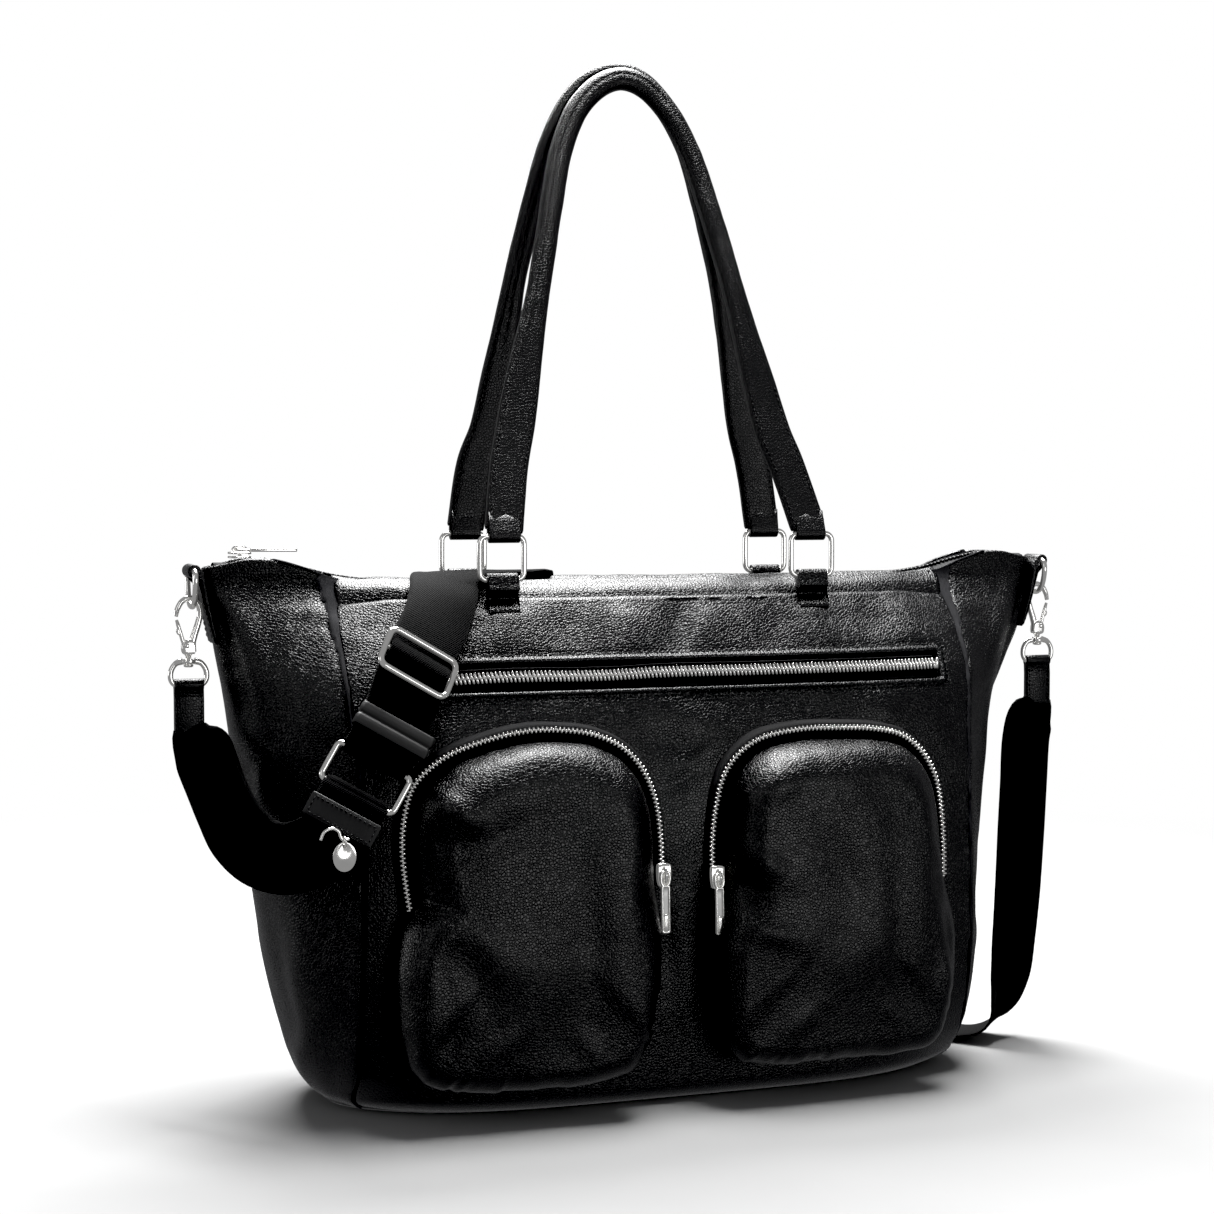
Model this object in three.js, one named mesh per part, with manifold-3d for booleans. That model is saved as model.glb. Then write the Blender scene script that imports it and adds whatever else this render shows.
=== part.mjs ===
// Winged zip-top tote with two bellows pockets, two ring-hung handles and a
// webbing shoulder strap. Millimetres, +Z up, origin on the floor under the
// middle of the body, front facing -Y.
import * as THREE from 'three';
import Module from 'manifold-3d';
import { mergeVertices } from 'three/addons/utils/BufferGeometryUtils.js';

const wasm = await Module();
wasm.setup();

// ---------------------------------------------------------------- dimensions
const LEATHER = 2.8;          // panel with its backing
const SEAM_GAP = 0.25;        // clearance each side of a seam
const MITRE = 2.6;            // inward step at a panel edge
const LINING_IN = 7.2;        // outer face of the lining, in from the outside
const LINING_T = 1.0;
const BODY_BOTTOM = 9.6;      // where the wall panels start
const TAPE_HALF = 7.6;        // top zip tape half width
const SLOT = { x: 166, z0: 231.5, z1: 246.5 };   // window of the flat zip
const RING = { w: 25.6, h: 24, r: 1.5 };         // handle ring, wire centre line
const RING_X = 95.5, RING_Y = 37.5, RING_Z = 291.3;
const TAB_W = 18;
const HANDLE_W0 = 22, HANDLE_T0 = 4.6, HANDLE_W1 = 13.6, HANDLE_T1 = 8;
const WEB_W = 38, WEB_T = 1.8;
const POCKET_R = 72.5, POCKET_DEPTH = 24, POCKET_WALL = 2.2;
const POCKETS = {
  left: { x: -90, z: 137.5, bottom: 21, sign: -1 },
  right: { x: 86.5, z: 134.5, bottom: 25, sign: 1 },
};

// half width of the front and back panels, depth of their seams, bulge of the
// panels, half width at the fold of each gusset, all against height
const SEAM_X = [[0, 178], [10, 183], [60, 183], [150, 182], [200, 184], [249, 188], [270, 187.5], [292, 185], [310, 185]];
const SEAM_Y = [[0, 34], [10, 42], [25, 54], [60, 64], [100, 67], [150, 66], [180, 63], [200, 60], [220, 56], [239, 50], [255, 40], [270, 29], [281, 20], [292, 15], [310, 15]];
const BULGE = [[0, 36], [10, 32], [25, 21], [60, 12], [100, 9], [150, 10], [200, 12], [220, 12], [239, 12.5], [255, 15], [270, 17], [281, 18], [292, 18], [310, 18]];
const FOLD_L = [[0, 188], [12, 200], [27, 207], [41, 210], [56, 213.5], [70, 217], [85, 220], [99, 222], [126, 227], [193, 237], [226, 242], [259, 248], [299, 255], [310, 255]];
const FOLD_R = [[0, 182], [10, 188], [25, 196], [41, 200.5], [58, 204], [87, 209], [111, 211.5], [150, 213], [175, 215.5], [209, 221], [239, 236], [260, 247], [300, 255], [310, 255]];
const FOLD_Q = [[0, 2.4], [200, 2.1], [260, 2.2], [299, 3], [310, 3]];
// top edge of the wings and of the bands, the zip and the panel's top seam
const EDGE_Z = [[0, 290.3], [100, 290.3], [150, 291.3], [185, 292.5], [200, 298], [220, 303], [232, 303.4], [245, 301], [256, 299]];
const ZIP_Z = [[0, 286.8], [100, 287], [135, 288.3], [180, 293], [205, 299], [222, 302], [240, 302.2], [260, 302.2]];
const SEAM_TOP = [[0, 281], [150, 281], [186, 278]];

// ------------------------------------------------------------------- helpers
const V = (x, y, z) => new THREE.Vector3(x, y, z);
function table(t, x) {
  if (x <= t[0][0]) return t[0][1];
  for (let i = 1; i < t.length; i++) {
    if (x <= t[i][0]) {
      const [x0, y0] = t[i - 1], [x1, y1] = t[i];
      const s = (y1 - y0) / (x1 - x0);
      const before = i > 1 ? (y0 - t[i - 2][1]) / (x0 - t[i - 2][0]) : s;
      const after = i < t.length - 1 ? (t[i + 1][1] - y1) / (t[i + 1][0] - x1) : s;
      const m0 = before * s <= 0 ? 0 : (before + s) / 2, m1 = after * s <= 0 ? 0 : (after + s) / 2;
      const h = x1 - x0, k = (x - x0) / h;
      return y0 * (2 * k ** 3 - 3 * k * k + 1) + m0 * h * (k ** 3 - 2 * k * k + k) +
        y1 * (-2 * k ** 3 + 3 * k * k) + m1 * h * (k ** 3 - k * k);
    }
  }
  return t[t.length - 1][1];
}
function geometry(points, faces) {
  const g = new THREE.BufferGeometry();
  g.setAttribute('position', new THREE.Float32BufferAttribute(points.flatMap(p => [p.x, p.y, p.z]), 3));
  g.setIndex(faces);
  return outward(g);
}
function outward(g) {
  const p = g.attributes.position, idx = g.index;
  let vol = 0;
  const a = V(), b = V(), c = V();
  for (let i = 0; i < idx.count; i += 3) {
    a.fromBufferAttribute(p, idx.getX(i)); b.fromBufferAttribute(p, idx.getX(i + 1)); c.fromBufferAttribute(p, idx.getX(i + 2));
    vol += a.dot(b.cross(c));
  }
  if (vol < 0) {
    const arr = Array.from(idx.array);
    for (let i = 0; i < arr.length; i += 3) [arr[i + 1], arr[i + 2]] = [arr[i + 2], arr[i + 1]];
    g.setIndex(arr);
  }
  return g;
}
// closed slab between two grids of points, outer[i][j] and inner[i][j]
function slab(outer, inner, wrap = false) {
  const ni = outer.length, nj = outer[0].length, pts = [], f = [];
  for (const grid of [outer, inner]) for (const row of grid) pts.push(...row);
  const o = (i, j) => (i % ni) * nj + j, n = (i, j) => ni * nj + (i % ni) * nj + j;
  const quad = (a, b, c, d) => f.push(a, b, c, a, c, d);
  const last = wrap ? ni : ni - 1;
  for (let i = 0; i < last; i++) for (let j = 0; j < nj - 1; j++) {
    quad(o(i, j), o(i + 1, j), o(i + 1, j + 1), o(i, j + 1));
    quad(n(i, j), n(i, j + 1), n(i + 1, j + 1), n(i + 1, j));
  }
  for (let i = 0; i < last; i++) {
    quad(o(i, 0), n(i, 0), n(i + 1, 0), o(i + 1, 0));
    quad(o(i, nj - 1), o(i + 1, nj - 1), n(i + 1, nj - 1), n(i, nj - 1));
  }
  if (!wrap) for (let j = 0; j < nj - 1; j++) {
    quad(o(0, j), o(0, j + 1), n(0, j + 1), n(0, j));
    quad(o(ni - 1, j), n(ni - 1, j), n(ni - 1, j + 1), o(ni - 1, j + 1));
  }
  return geometry(pts, f);
}
// loft through rings of equal length; ends fanned unless the loft is a loop
function loft(rings, loop = false) {
  const m = rings.length, n = rings[0].length, pts = rings.flat(), f = [];
  for (let i = 0; i < (loop ? m : m - 1); i++) for (let j = 0; j < n; j++) {
    const a = i * n + j, b = i * n + (j + 1) % n, c = ((i + 1) % m) * n + (j + 1) % n, d = ((i + 1) % m) * n + j;
    f.push(a, b, c, a, c, d);
  }
  if (!loop) {
    for (const [k, flip] of [[0, true], [m - 1, false]]) {
      const c = V(0, 0, 0);
      rings[k].forEach(p => c.add(p));
      c.divideScalar(n);
      pts.push(c);
      const id = pts.length - 1;
      for (let j = 0; j < n; j++) {
        const a = k * n + j, b = k * n + (j + 1) % n;
        flip ? f.push(id, b, a) : f.push(id, a, b);
      }
    }
  }
  return geometry(pts, f);
}
const toSolid = g => {
  const k = g.clone();
  k.deleteAttribute('normal'); k.deleteAttribute('uv');
  const m = mergeVertices(k, 1e-4);
  return new wasm.Manifold(new wasm.Mesh({ numProp: 3, vertProperties: new Float32Array(m.attributes.position.array), triVerts: new Uint32Array(m.index.array) }));
};
const fromSolid = s => {
  const m = s.simplify(0.004).getMesh(), g = new THREE.BufferGeometry();
  g.setAttribute('position', new THREE.BufferAttribute(new Float32Array(m.vertProperties), 3));
  g.setIndex(Array.from(m.triVerts));
  return g;
};
const join = (...gs) => fromSolid(gs.map(toSolid).reduce((a, b) => a.add(b)));
const cut = (g, ...tools) => fromSolid(tools.map(toSolid).reduce((a, b) => a.subtract(b), toSolid(g)));
const box = (x0, x1, y0, y1, z0, z1) => new THREE.BoxGeometry(x1 - x0, y1 - y0, z1 - z0).translate((x0 + x1) / 2, (y0 + y1) / 2, (z0 + z1) / 2);
// tube of round wire along points, open (capped) or closed; `plane` is a
// direction that is never along the wire
function wire(points, r, closed, steps, plane, sides = 8) {
  const curve = new THREE.CatmullRomCurve3(points, closed, 'catmullrom', 0.5);
  const rings = [];
  const n = closed ? steps : steps + 1;
  for (let i = 0; i < n; i++) {
    const t = i / steps, c = curve.getPointAt(Math.min(t, 1)), d = curve.getTangentAt(Math.min(t, 1));
    const u = plane.clone().sub(d.clone().multiplyScalar(plane.dot(d))).normalize(), v = d.clone().cross(u);
    rings.push(Array.from({ length: sides }, (_, k) => {
      const a = (k + 0.5) / sides * 2 * Math.PI;
      return c.clone().addScaledVector(u, r * Math.cos(a)).addScaledVector(v, r * Math.sin(a));
    }));
  }
  return loft(rings, closed);
}
const roundRect = (w, h, r, n = 3) => {
  const out = [];
  for (const [sx, sy, a0] of [[1, 1, 0], [-1, 1, 1], [-1, -1, 2], [1, -1, 3]]) for (let k = 0; k <= n; k++) {
    const a = (a0 + k / n) * Math.PI / 2;
    out.push([sx * (w / 2 - r) + r * Math.cos(a), sy * (h / 2 - r) + r * Math.sin(a)]);
  }
  return out;
};
// a frame of axes placed at `o`
function place(g, o, ex, ey, ez) {
  const m = new THREE.Matrix4().makeBasis(ex, ey, ez).setPosition(o);
  g.applyMatrix4(m);
  if (m.determinant() > 0) return g;
  if (!g.index) { g.deleteAttribute('normal'); g.deleteAttribute('uv'); g = mergeVertices(g, 1e-4); }
  const a = Array.from(g.index.array);
  for (let i = 0; i < a.length; i += 3) [a[i + 1], a[i + 2]] = [a[i + 2], a[i + 1]];
  g.setIndex(a);
  return g;
}
// 2-D outline (and holes) extruded evenly about the plane z = 0
function plate(outline, depth, holes = []) {
  const s = new THREE.Shape(outline.map(([x, y]) => new THREE.Vector2(x, y)));
  for (const h of holes) s.holes.push(new THREE.Path(h.map(([x, y]) => new THREE.Vector2(x, y))));
  return new THREE.ExtrudeGeometry(s, { depth, bevelEnabled: false, steps: 1, curveSegments: 8 }).translate(0, 0, -depth / 2);
}
const circle = (cx, cy, r, n) => Array.from({ length: n }, (_, i) => [cx + r * Math.cos(i / n * 2 * Math.PI), cy + r * Math.sin(i / n * 2 * Math.PI)]);

// ---------------------------------------------------------------- body shape
const bulgeP = z => z > 260 ? 3.2 : 4.6;
function wall(u, z, inset = 0) {          // front panel, u from -1 to 1
  const x = table(SEAM_X, z) - inset * (MITRE / LEATHER), y = table(SEAM_Y, z) - inset;
  return V(x * u, -(y + table(BULGE, z) * (1 - Math.abs(u) ** bulgeP(z))), z);
}
function back(u, z, inset = 0) {
  const x = table(SEAM_X, z) - inset * (MITRE / LEATHER), y = table(SEAM_Y, z) - inset;
  return V(x * u, y + 0.85 * table(BULGE, z) * (1 - Math.abs(u) ** bulgeP(z)), z);
}
function fold(side, v, z, inset = 0) {    // gusset, v from -1 (front) to 1 (back)
  const x = table(SEAM_X, z) - inset * (MITRE / LEATHER), y = table(SEAM_Y, z) - inset;
  const g = table(side < 0 ? FOLD_L : FOLD_R, z) - inset * (1 + 1.6 * Math.max(0, (z - 230) / 70));
  return V(side * (x + (g - x) * (1 - Math.abs(v) ** table(FOLD_Q, z))), y * v, z);
}
const seamTop = x => table(SEAM_TOP, Math.abs(x));
const edgeZ = x => table(EDGE_Z, Math.abs(x));
const zipZ = x => table(ZIP_Z, Math.abs(x));

function panel(fn, nu, nz) {
  const grid = inset => Array.from({ length: nu + 1 }, (_, i) => Array.from({ length: nz + 1 }, (_, j) => {
    const u0 = -1 + 2 * i / nu, k = j / nz;
    const u = Math.sign(u0) * (1 - (1 - Math.abs(u0)) ** 1.25);
    const z = BODY_BOTTOM + (seamTop(185 * u) - BODY_BOTTOM) * (0.75 * k + 0.25 * k * k);
    return fn(u * (1 - SEAM_GAP / 180), z, inset);
  }));
  return slab(grid(0), grid(LEATHER));
}
function gusset(side, nv, nz) {
  const grid = inset => Array.from({ length: nv + 1 }, (_, i) => Array.from({ length: nz + 1 }, (_, j) => {
    const v0 = -1 + 2 * i / nv, k = j / nz;
    let top = 292;
    for (let n = 0; n < 4; n++) top = edgeZ(fold(side, v0, top, 0).x);
    const z = BODY_BOTTOM + (top - BODY_BOTTOM) * (0.8 * k + 0.2 * k * k);
    return fold(side, v0 * (1 - SEAM_GAP / table(SEAM_Y, z)), z, inset);
  }));
  return slab(grid(0), grid(LEATHER));
}
// closed outline of the body at one height
function outline(z, inset, nf, ng) {
  const out = [];
  for (let i = 0; i < nf; i++) out.push(wall(-1 + 2 * i / nf, z, inset));
  for (let i = 0; i < ng; i++) out.push(fold(1, -1 + 2 * i / ng, z, inset));
  for (let i = 0; i < nf; i++) out.push(back(1 - 2 * i / nf, z, inset));
  for (let i = 0; i < ng; i++) out.push(fold(-1, 1 - 2 * i / ng, z, inset));
  return out;
}
function basePanel() {
  const ring = (z, inset) => outline(9.4, inset, 12, 6).map(p => V(p.x, p.y, z));
  const shrink = (r, k, z) => r.map(p => V(p.x * k, p.y * k, z));
  const rings = [shrink(ring(4, 8), 0.02, 4), ring(4, 9), ring(6.5, 4.2), ring(9.3, 3), ring(9.3, 0), ring(5, 1.4), ring(1.4, 5), ring(0, 11), shrink(ring(0, 11), 0.02, 0)];
  return loft(rings);
}
function lining() {
  const zs = [6, 10, 25, 60, 110, 170, 215, 245, 262, 275];
  const outer = zs.map(z => outline(Math.max(z, 10), z < 8 ? LINING_IN + 6 : LINING_IN, 10, 6).map(p => V(p.x, p.y, z)));
  const inner = zs.slice(1).map(z => outline(z, z < 12 ? LINING_IN + 7 : LINING_IN + LINING_T, 10, 6).map(p => V(p.x, p.y, z < 12 ? 7.6 : z)));
  const mid = (r, z) => r.map(p => V(p.x * 0.02, p.y * 0.02, z));
  return loft([mid(outer[0], 6), ...outer, ...inner.reverse(), mid(inner[inner.length - 1], 7.6)]);
}
function band(side) {                     // strip between the panel and the zip
  const nu = 16, X = 181.5;
  const prof = u => {
    const x = X * u, zs = seamTop(x) + 0.5, e = edgeZ(x), zz = zipZ(x);
    const y0 = side < 0 ? -wall(x / 185, zs).y : back(x / 185, zs).y;
    const ye = 13 + 9 * (1 - Math.abs(u) ** 2.4);
    return [[y0, zs], [y0 - (y0 - ye) * 0.35, zs + (e - zs) * 0.66], [ye, e], [(ye + TAPE_HALF) / 2 + 1, (e + zz) / 2 + 0.6], [TAPE_HALF + 0.5, zz + 0.4]];
  };
  const outer = [], inner = [];
  for (let i = 0; i <= nu; i++) {
    const u = -1 + 2 * i / nu, p = prof(u);
    outer.push(p.map(([y, z]) => V(X * u, side * y, z)));
    inner.push(p.map(([y, z], k) => k === 0 ? V(X * u, side * (y - 2.6), z) : k === 4 ? V(X * u, side * y, z - 2.2) : V(X * u, side * (y - 1.6 * (4 - k) / 4), z - 2.2)));
  }
  return slab(outer, inner);
}
function topZip() {                       // tapes and closed coil, one strip
  const n = 36, rings = [];
  for (let i = 0; i <= n; i++) {
    const x = -236 + 472 * i / n, z = zipZ(x);
    const w = Math.abs(x) > 183 ? Math.min(TAPE_HALF, table([[183, 7.6], [200, 7.6], [222, 6.2], [236, 4]], Math.abs(x))) : TAPE_HALF;
    rings.push([[w, -1.6], [w, -0.6], [2.6, -0.6], [1.9, 1], [-1.9, 1], [-2.6, -0.6], [-w, -0.6], [-w, -1.6]].map(([y, h]) => V(x, y, z + h)));
  }
  return loft(rings);
}
const frontY = 61.2;                      // plane of the flat zip's teeth
function frontZip() {
  const n = 24, rings = [];
  for (let i = 0; i <= n; i++) {
    const x = -164 + 328 * i / n, d = z => -wall(x / table(SEAM_X, z), z).y - 4.9;
    const face = Math.min(frontY, d(239) + 3.6);
    rings.push([[d(230) - 0.9, 230], [d(230), 230], [d(236.4), 236.4], [face, 236.8], [face, 241.2], [d(241.6), 241.6], [d(248), 248], [d(248) - 0.9, 248]].map(([y, z]) => V(x, -y, z)));
  }
  return loft(rings);
}

// ------------------------------------------------------------------- pockets
// each pocket is built flat (x across, y up, z out) and laid on the panel
function pocketFrame(p) {
  const at = (x, z) => V(x, wall(x / 183, z).y, z);
  const a = at(p.x + p.sign * 72, 115), b = at(p.x - p.sign * 72, 115), c = at(p.x, p.z + 72);
  let n = b.clone().sub(a).cross(c.clone().sub(a)).normalize();
  if (n.y > 0) n.negate();
  let lift = -1e9;
  for (let i = 0; i <= 24; i++) for (const r of [62, 74, 77]) {
    const t = -0.35 + i / 24 * (Math.PI + 0.7), x = p.x + r * Math.cos(t), z = p.z + r * Math.sin(t);
    if (z < 240) lift = Math.max(lift, at(x, z).dot(n));
  }
  for (const [x, z] of [[p.x, p.z], [p.x, 40], [p.x - 40, 60], [p.x + 40, 60], [p.x, 100], [p.x, 170]]) lift = Math.max(lift, at(x, z).dot(n));
  const ex = V(1, 0, 0).addScaledVector(n, -n.x).normalize(), ey = n.clone().cross(ex);
  const y = (lift + 0.5 - n.x * p.x - n.z * p.z) / n.y;
  return { o: V(p.x, y, p.z), ex, ey, n };
}
// arched outline, `inset` in from the zip's centre line; n points, closed
function arch(p, inset, n = 40) {
  const R = POCKET_R - inset, bottom = -(p.z - p.bottom) + inset * 0.6, r = 30 - inset * 0.5, out = [];
  const na = Math.round(n * 0.5);
  for (let i = 0; i <= na; i++) { const t = Math.PI * i / na; out.push([R * Math.cos(t), R * Math.sin(t)]); }
  const left = [[-R, -38], [-R, -76]];
  out.push(...left);
  for (let i = 0; i <= 5; i++) { const t = Math.PI + i / 5 * Math.PI / 2; out.push([-R + r + r * Math.cos(t), bottom + r + r * Math.sin(t)]); }
  out.push([0, bottom - 1.5]);
  for (let i = 0; i <= 5; i++) { const t = 1.5 * Math.PI + i / 5 * Math.PI / 2; out.push([R - r + r * Math.cos(t), bottom + r + r * Math.sin(t)]); }
  out.push([R, -76], [R, -38]);
  return out;
}
function pocketShell(p, f) {
  const ring = (inset, h) => arch(p, inset).map(([x, y]) => V(x, y, h));
  const mid = (r, k, h) => r.map(q => V(q.x * k, q.y * k, h));
  const D = POCKET_DEPTH, w = POCKET_WALL;
  const outer = [ring(8, 0), ring(8.2, 7), ring(10.5, 14), ring(16, 19.5), ring(27, 22.8), ring(42, D - 0.3)];
  const inner = [ring(42, D - 0.3 - w), ring(28, 20.6), ring(18.4, 17.4), ring(12.8, 12.6), ring(10.5, 6.5), ring(10.3, 0)];
  const rings = [mid(outer[5], 0.04, D - w), ...inner.map(r => r), ...outer];
  rings.push(mid(outer[5], 0.04, D));
  return place(loft(rings), f.o, f.ex, f.ey, f.n);
}
// zip strip over the arch, from angle a0 to a1 with straight runs below
function pocketZip(p, f, low0, low1) {
  const path = [];
  for (let k = 0; k < 2; k++) path.push([POCKET_R, low0 + (0 - low0) * k / 2]);
  for (let i = 0; i <= 24; i++) { const t = Math.PI * i / 24; path.push([POCKET_R * Math.cos(t), POCKET_R * Math.sin(t)]); }
  for (let k = 1; k >= 0; k--) path.push([-POCKET_R, low1 + (0 - low1) * k / 2]);
  if (p.sign > 0) path.forEach(q => { q[0] = -q[0]; });
  const rings = path.map(([x, y], i) => {
    const r = y >= 0 ? Math.hypot(x, y) : POCKET_R, e = y >= 0 ? V(x / r, y / r, 0) : V(Math.sign(x), 0, 0);
    return [[4, 0], [4, 1.2], [1.6, 1.2], [1.2, 3], [-1.2, 3], [-1.6, 1.2], [-5.2, 1.2], [-5.2, 0]].map(([d, h]) => V(x + e.x * d, y + e.y * d, h));
  });
  return place(loft(rings), f.o, f.ex, f.ey, f.n);
}
// zip slider: low body with a crown; x across the teeth, y along, z out
const slider = (w, l, h) => join(
  loft([[w * 0.42, -l / 2], [w / 2, -l * 0.1], [w / 2, l / 2]].map(([a, y]) => roundRect(2 * a, h, 0.9, 2).map(([x, z]) => V(x, y, z + h / 2)))),
  wire([V(0, -l * 0.3, h * 0.6), V(0, -l * 0.26, h + 1.9), V(0, 0.4, h + 3), V(0, l * 0.3, h + 1.9), V(0, l * 0.34, h * 0.6)], 0.8, false, 8, V(1, 0, 0), 6));
// pull: flat bar with a slot for the crown; hinge bar at the origin, bar
// towards -y
const pull = (w, l, t) => {
  const body = [[-w / 2 + 0.6, -l], [w / 2 - 0.6, -l], [w / 2, -l + 1], [w / 2, -9.5], [2.7, -6], [2.6, 0], [2, 0.55], [-2, 0.55], [-2.6, 0], [-2.7, -6], [-w / 2, -9.5], [-w / 2, -l + 1]];
  return plate(body, t, [[[1.3, -6.9], [1.3, -0.55], [-1.3, -0.55], [-1.3, -6.9]]]);
};
// pull that hangs sideways from its crown: eye in the y-z plane
const hangingPull = (w, l, t) => join(
  plate(circle(0, 0, 2.3, 14), 1.2, [circle(0, 0, 1.2, 10).reverse()]).rotateY(Math.PI / 2),
  plate([[-0.6, -1.6], [-0.6, -3.4], [-w / 2, -6], [-w / 2, -l + 1], [-w / 2 + 0.6, -l], [w / 2 - 0.6, -l], [w / 2, -l + 1], [w / 2, -6], [0.6, -3.4], [0.6, -1.6]], t));

// ------------------------------------------------------------------- handles
const LEAN = Math.atan2(65.5, 271);
const HANDLE_PATHS = {
  front: [[-94.2, 3], [-88.3, 40], [-83.2, 61], [-75.1, 95], [-61, 150], [-50.5, 196], [-42, 228], [-30.5, 252], [-16, 267], [-1.5, 272.5], [12.5, 268], [26, 253], [37, 230], [45.5, 198], [56, 150], [66.5, 95], [73.5, 61], [80.6, 40], [90.2, 4.3]],
  back: [[-94.1, 3], [-88.0, 40], [-79.8, 61], [-73.2, 95], [-62.8, 150], [-50.8, 196], [-40.8, 228], [-29, 251], [-15.5, 265], [-0.5, 270], [14.5, 266], [30, 252], [44, 229], [54, 198], [65.5, 150], [76.3, 95], [82.3, 61], [87.5, 40], [93.3, 3]],
};
const ringX = (side, k) => k * RING_X - (side < 0 && k > 0 ? 3.5 : 0);
function handle(side) {
  const lean = side < 0 ? LEAN : 0.006, h = RING.h;
  const o = V(0, side * RING_Y, RING_Z + h), up = V(0, Math.sin(lean), Math.cos(lean)), out = V(0, -Math.cos(lean), Math.sin(lean));
  const curve = new THREE.CatmullRomCurve3(HANDLE_PATHS[side < 0 ? 'front' : 'back'].map(([x, y]) => V(x, y, 0)), false, 'catmullrom', 0.5);
  const L = curve.getLength(), rings = [], N = 30;
  for (let i = 0; i <= N; i++) {
    const t = i / N, c = curve.getPointAt(t), d = curve.getTangentAt(t), e = V(-d.y, d.x, 0), s = Math.min(t, 1 - t) * L;
    const k = THREE.MathUtils.smoothstep(s, 62, 150), w = HANDLE_W0 + (HANDLE_W1 - HANDLE_W0) * k, th = HANDLE_T0 + (HANDLE_T1 - HANDLE_T0) * k;
    rings.push(roundRect(w, th, Math.min(th * 0.38, 3), 1).map(([a, b]) => c.clone().addScaledVector(e, a).add(V(0, 0, b))));
  }
  const strap = loft(rings);
  const parts = [strap];
  for (const s of [-1, 1]) {              // chape round the ring's top bar
    const prof = plate(circle(0, 0, 3.7, 16), 17.4, [circle(0, 0, 1.85, 12).reverse()]);
    const neck = plate([[-1.9, 2.6], [1.9, 2.6], [1.9, 12], [-1.9, 12]], 17.4);
    const m = join(prof, neck);           // x = out, y = up, z = across
    m.applyMatrix4(new THREE.Matrix4().makeBasis(V(0, 0, 1), V(0, 1, 0), V(-1, 0, 0)).setPosition(ringX(side, s), 0, 0));
    parts.push(m);
  }
  const g = join(...parts);
  // local (x, y up the handle, z towards the front)
  return place(g, o, V(1, 0, 0), up, out);
}
const ringAt = (x, y) => {
  const pts = roundRect(RING.w, RING.h, 4, 2).map(([a, b]) => V(x + a, y, RING_Z + RING.h / 2 + b));
  return wireLoop(pts, RING.r, V(0, 1, 0), 6);
};
// wire through every given point of a closed flat loop
function wireLoop(pts, r, normal, sides) {
  const n = pts.length, rings = pts.map((p, i) => {
    const a = pts[(i + n - 1) % n], b = pts[(i + 1) % n];
    const d1 = p.clone().sub(a).normalize(), d2 = b.clone().sub(p).normalize();
    const d = d1.clone().add(d2).normalize(), u = normal.clone().normalize(), v = d.clone().cross(u).normalize();
    const k = 1 / Math.max(0.6, Math.sqrt((1 + d1.dot(d2)) / 2));
    return Array.from({ length: sides }, (_, j) => {
      const t = (j + 0.5) / sides * 2 * Math.PI;
      return p.clone().addScaledVector(u, r * Math.cos(t)).addScaledVector(v, r * k * Math.sin(t));
    });
  });
  return loft(rings, true);
}
// lower chape: loop round the ring's bottom bar, tail down over the band
function tab(x, side) {
  const tailAt = z => {
    const y = side < 0 ? -wall(x / 186, z).y : back(x / 186, z).y;
    return Math.max(y, 0) + 0.7;
  };
  const b0 = RING_Y + 0.2;
  const pts = [[b0 - 0.2, RING_Z - 1.6], [b0 + 3.4, RING_Z - 0.6], [b0 + 3.4, RING_Z - 6], [tailAt(280) + 2.2, 280.4], [tailAt(274) + 2.2, 274], [tailAt(271) + 2, 271], [tailAt(271), 271], [tailAt(274), 274], [tailAt(280.3), 280.3], [b0 + 0.6, RING_Z - 7]];
  const eye = plate(circle(RING_Y, RING_Z, 3.7, 18), TAB_W, [circle(RING_Y, RING_Z, 1.85, 12).reverse()]);
  const g = cut(join(eye, plate(pts, TAB_W)), new THREE.CylinderGeometry(1.85, 1.85, 40, 12).rotateX(Math.PI / 2).translate(RING_Y, RING_Z, 0));
  return place(g, V(x, 0, 0), V(0, side, 0), V(0, 0, 1), V(side, 0, 0));
}

// ------------------------------------------------------------- side hardware
const SIDE = { x: 260.5, barZ: 297, dZ: 277.6, hookX: 262.6, loopTop: 247, loopZ: 235 };
function sideTab(side) {
  const eye = plate(circle(SIDE.x, SIDE.barZ, 3.7, 16), TAB_W, [circle(SIDE.x, SIDE.barZ, 1.85, 12).reverse()]);
  const f = z => table(side < 0 ? FOLD_L : FOLD_R, z) + 0.7;
  const strip = plate([[f(296), 296], [f(296) + 2.4, 296.4], [SIDE.x - 1, SIDE.barZ - 2.4], [f(288) + 2.4, 288], [f(272) + 2.4, 272], [f(259) + 2.2, 259], [f(259), 259], [f(272), 272], [f(288), 288]], TAB_W);
  const g = cut(join(eye, strip), new THREE.CylinderGeometry(1.85, 1.85, 40, 12).rotateX(Math.PI / 2).translate(SIDE.x, SIDE.barZ, 0));
  return place(g, V(0, 0, 0), V(side, 0, 0), V(0, 0, 1), V(0, side < 0 ? 1 : -1, 0));
}
const dRing = side => wire([[-9.5, 297], [0, 297], [9.5, 297], [11.6, 294.6], [11.4, 288], [8.6, 281.4], [4.4, 278.2], [0, 277.6], [-4.4, 278.2], [-8.6, 281.4], [-11.4, 288], [-11.6, 294.6]].map(([y, z]) => V(side * SIDE.x, y, z)), 1.5, true, 24, V(1, 0, 0), 6);
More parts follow.
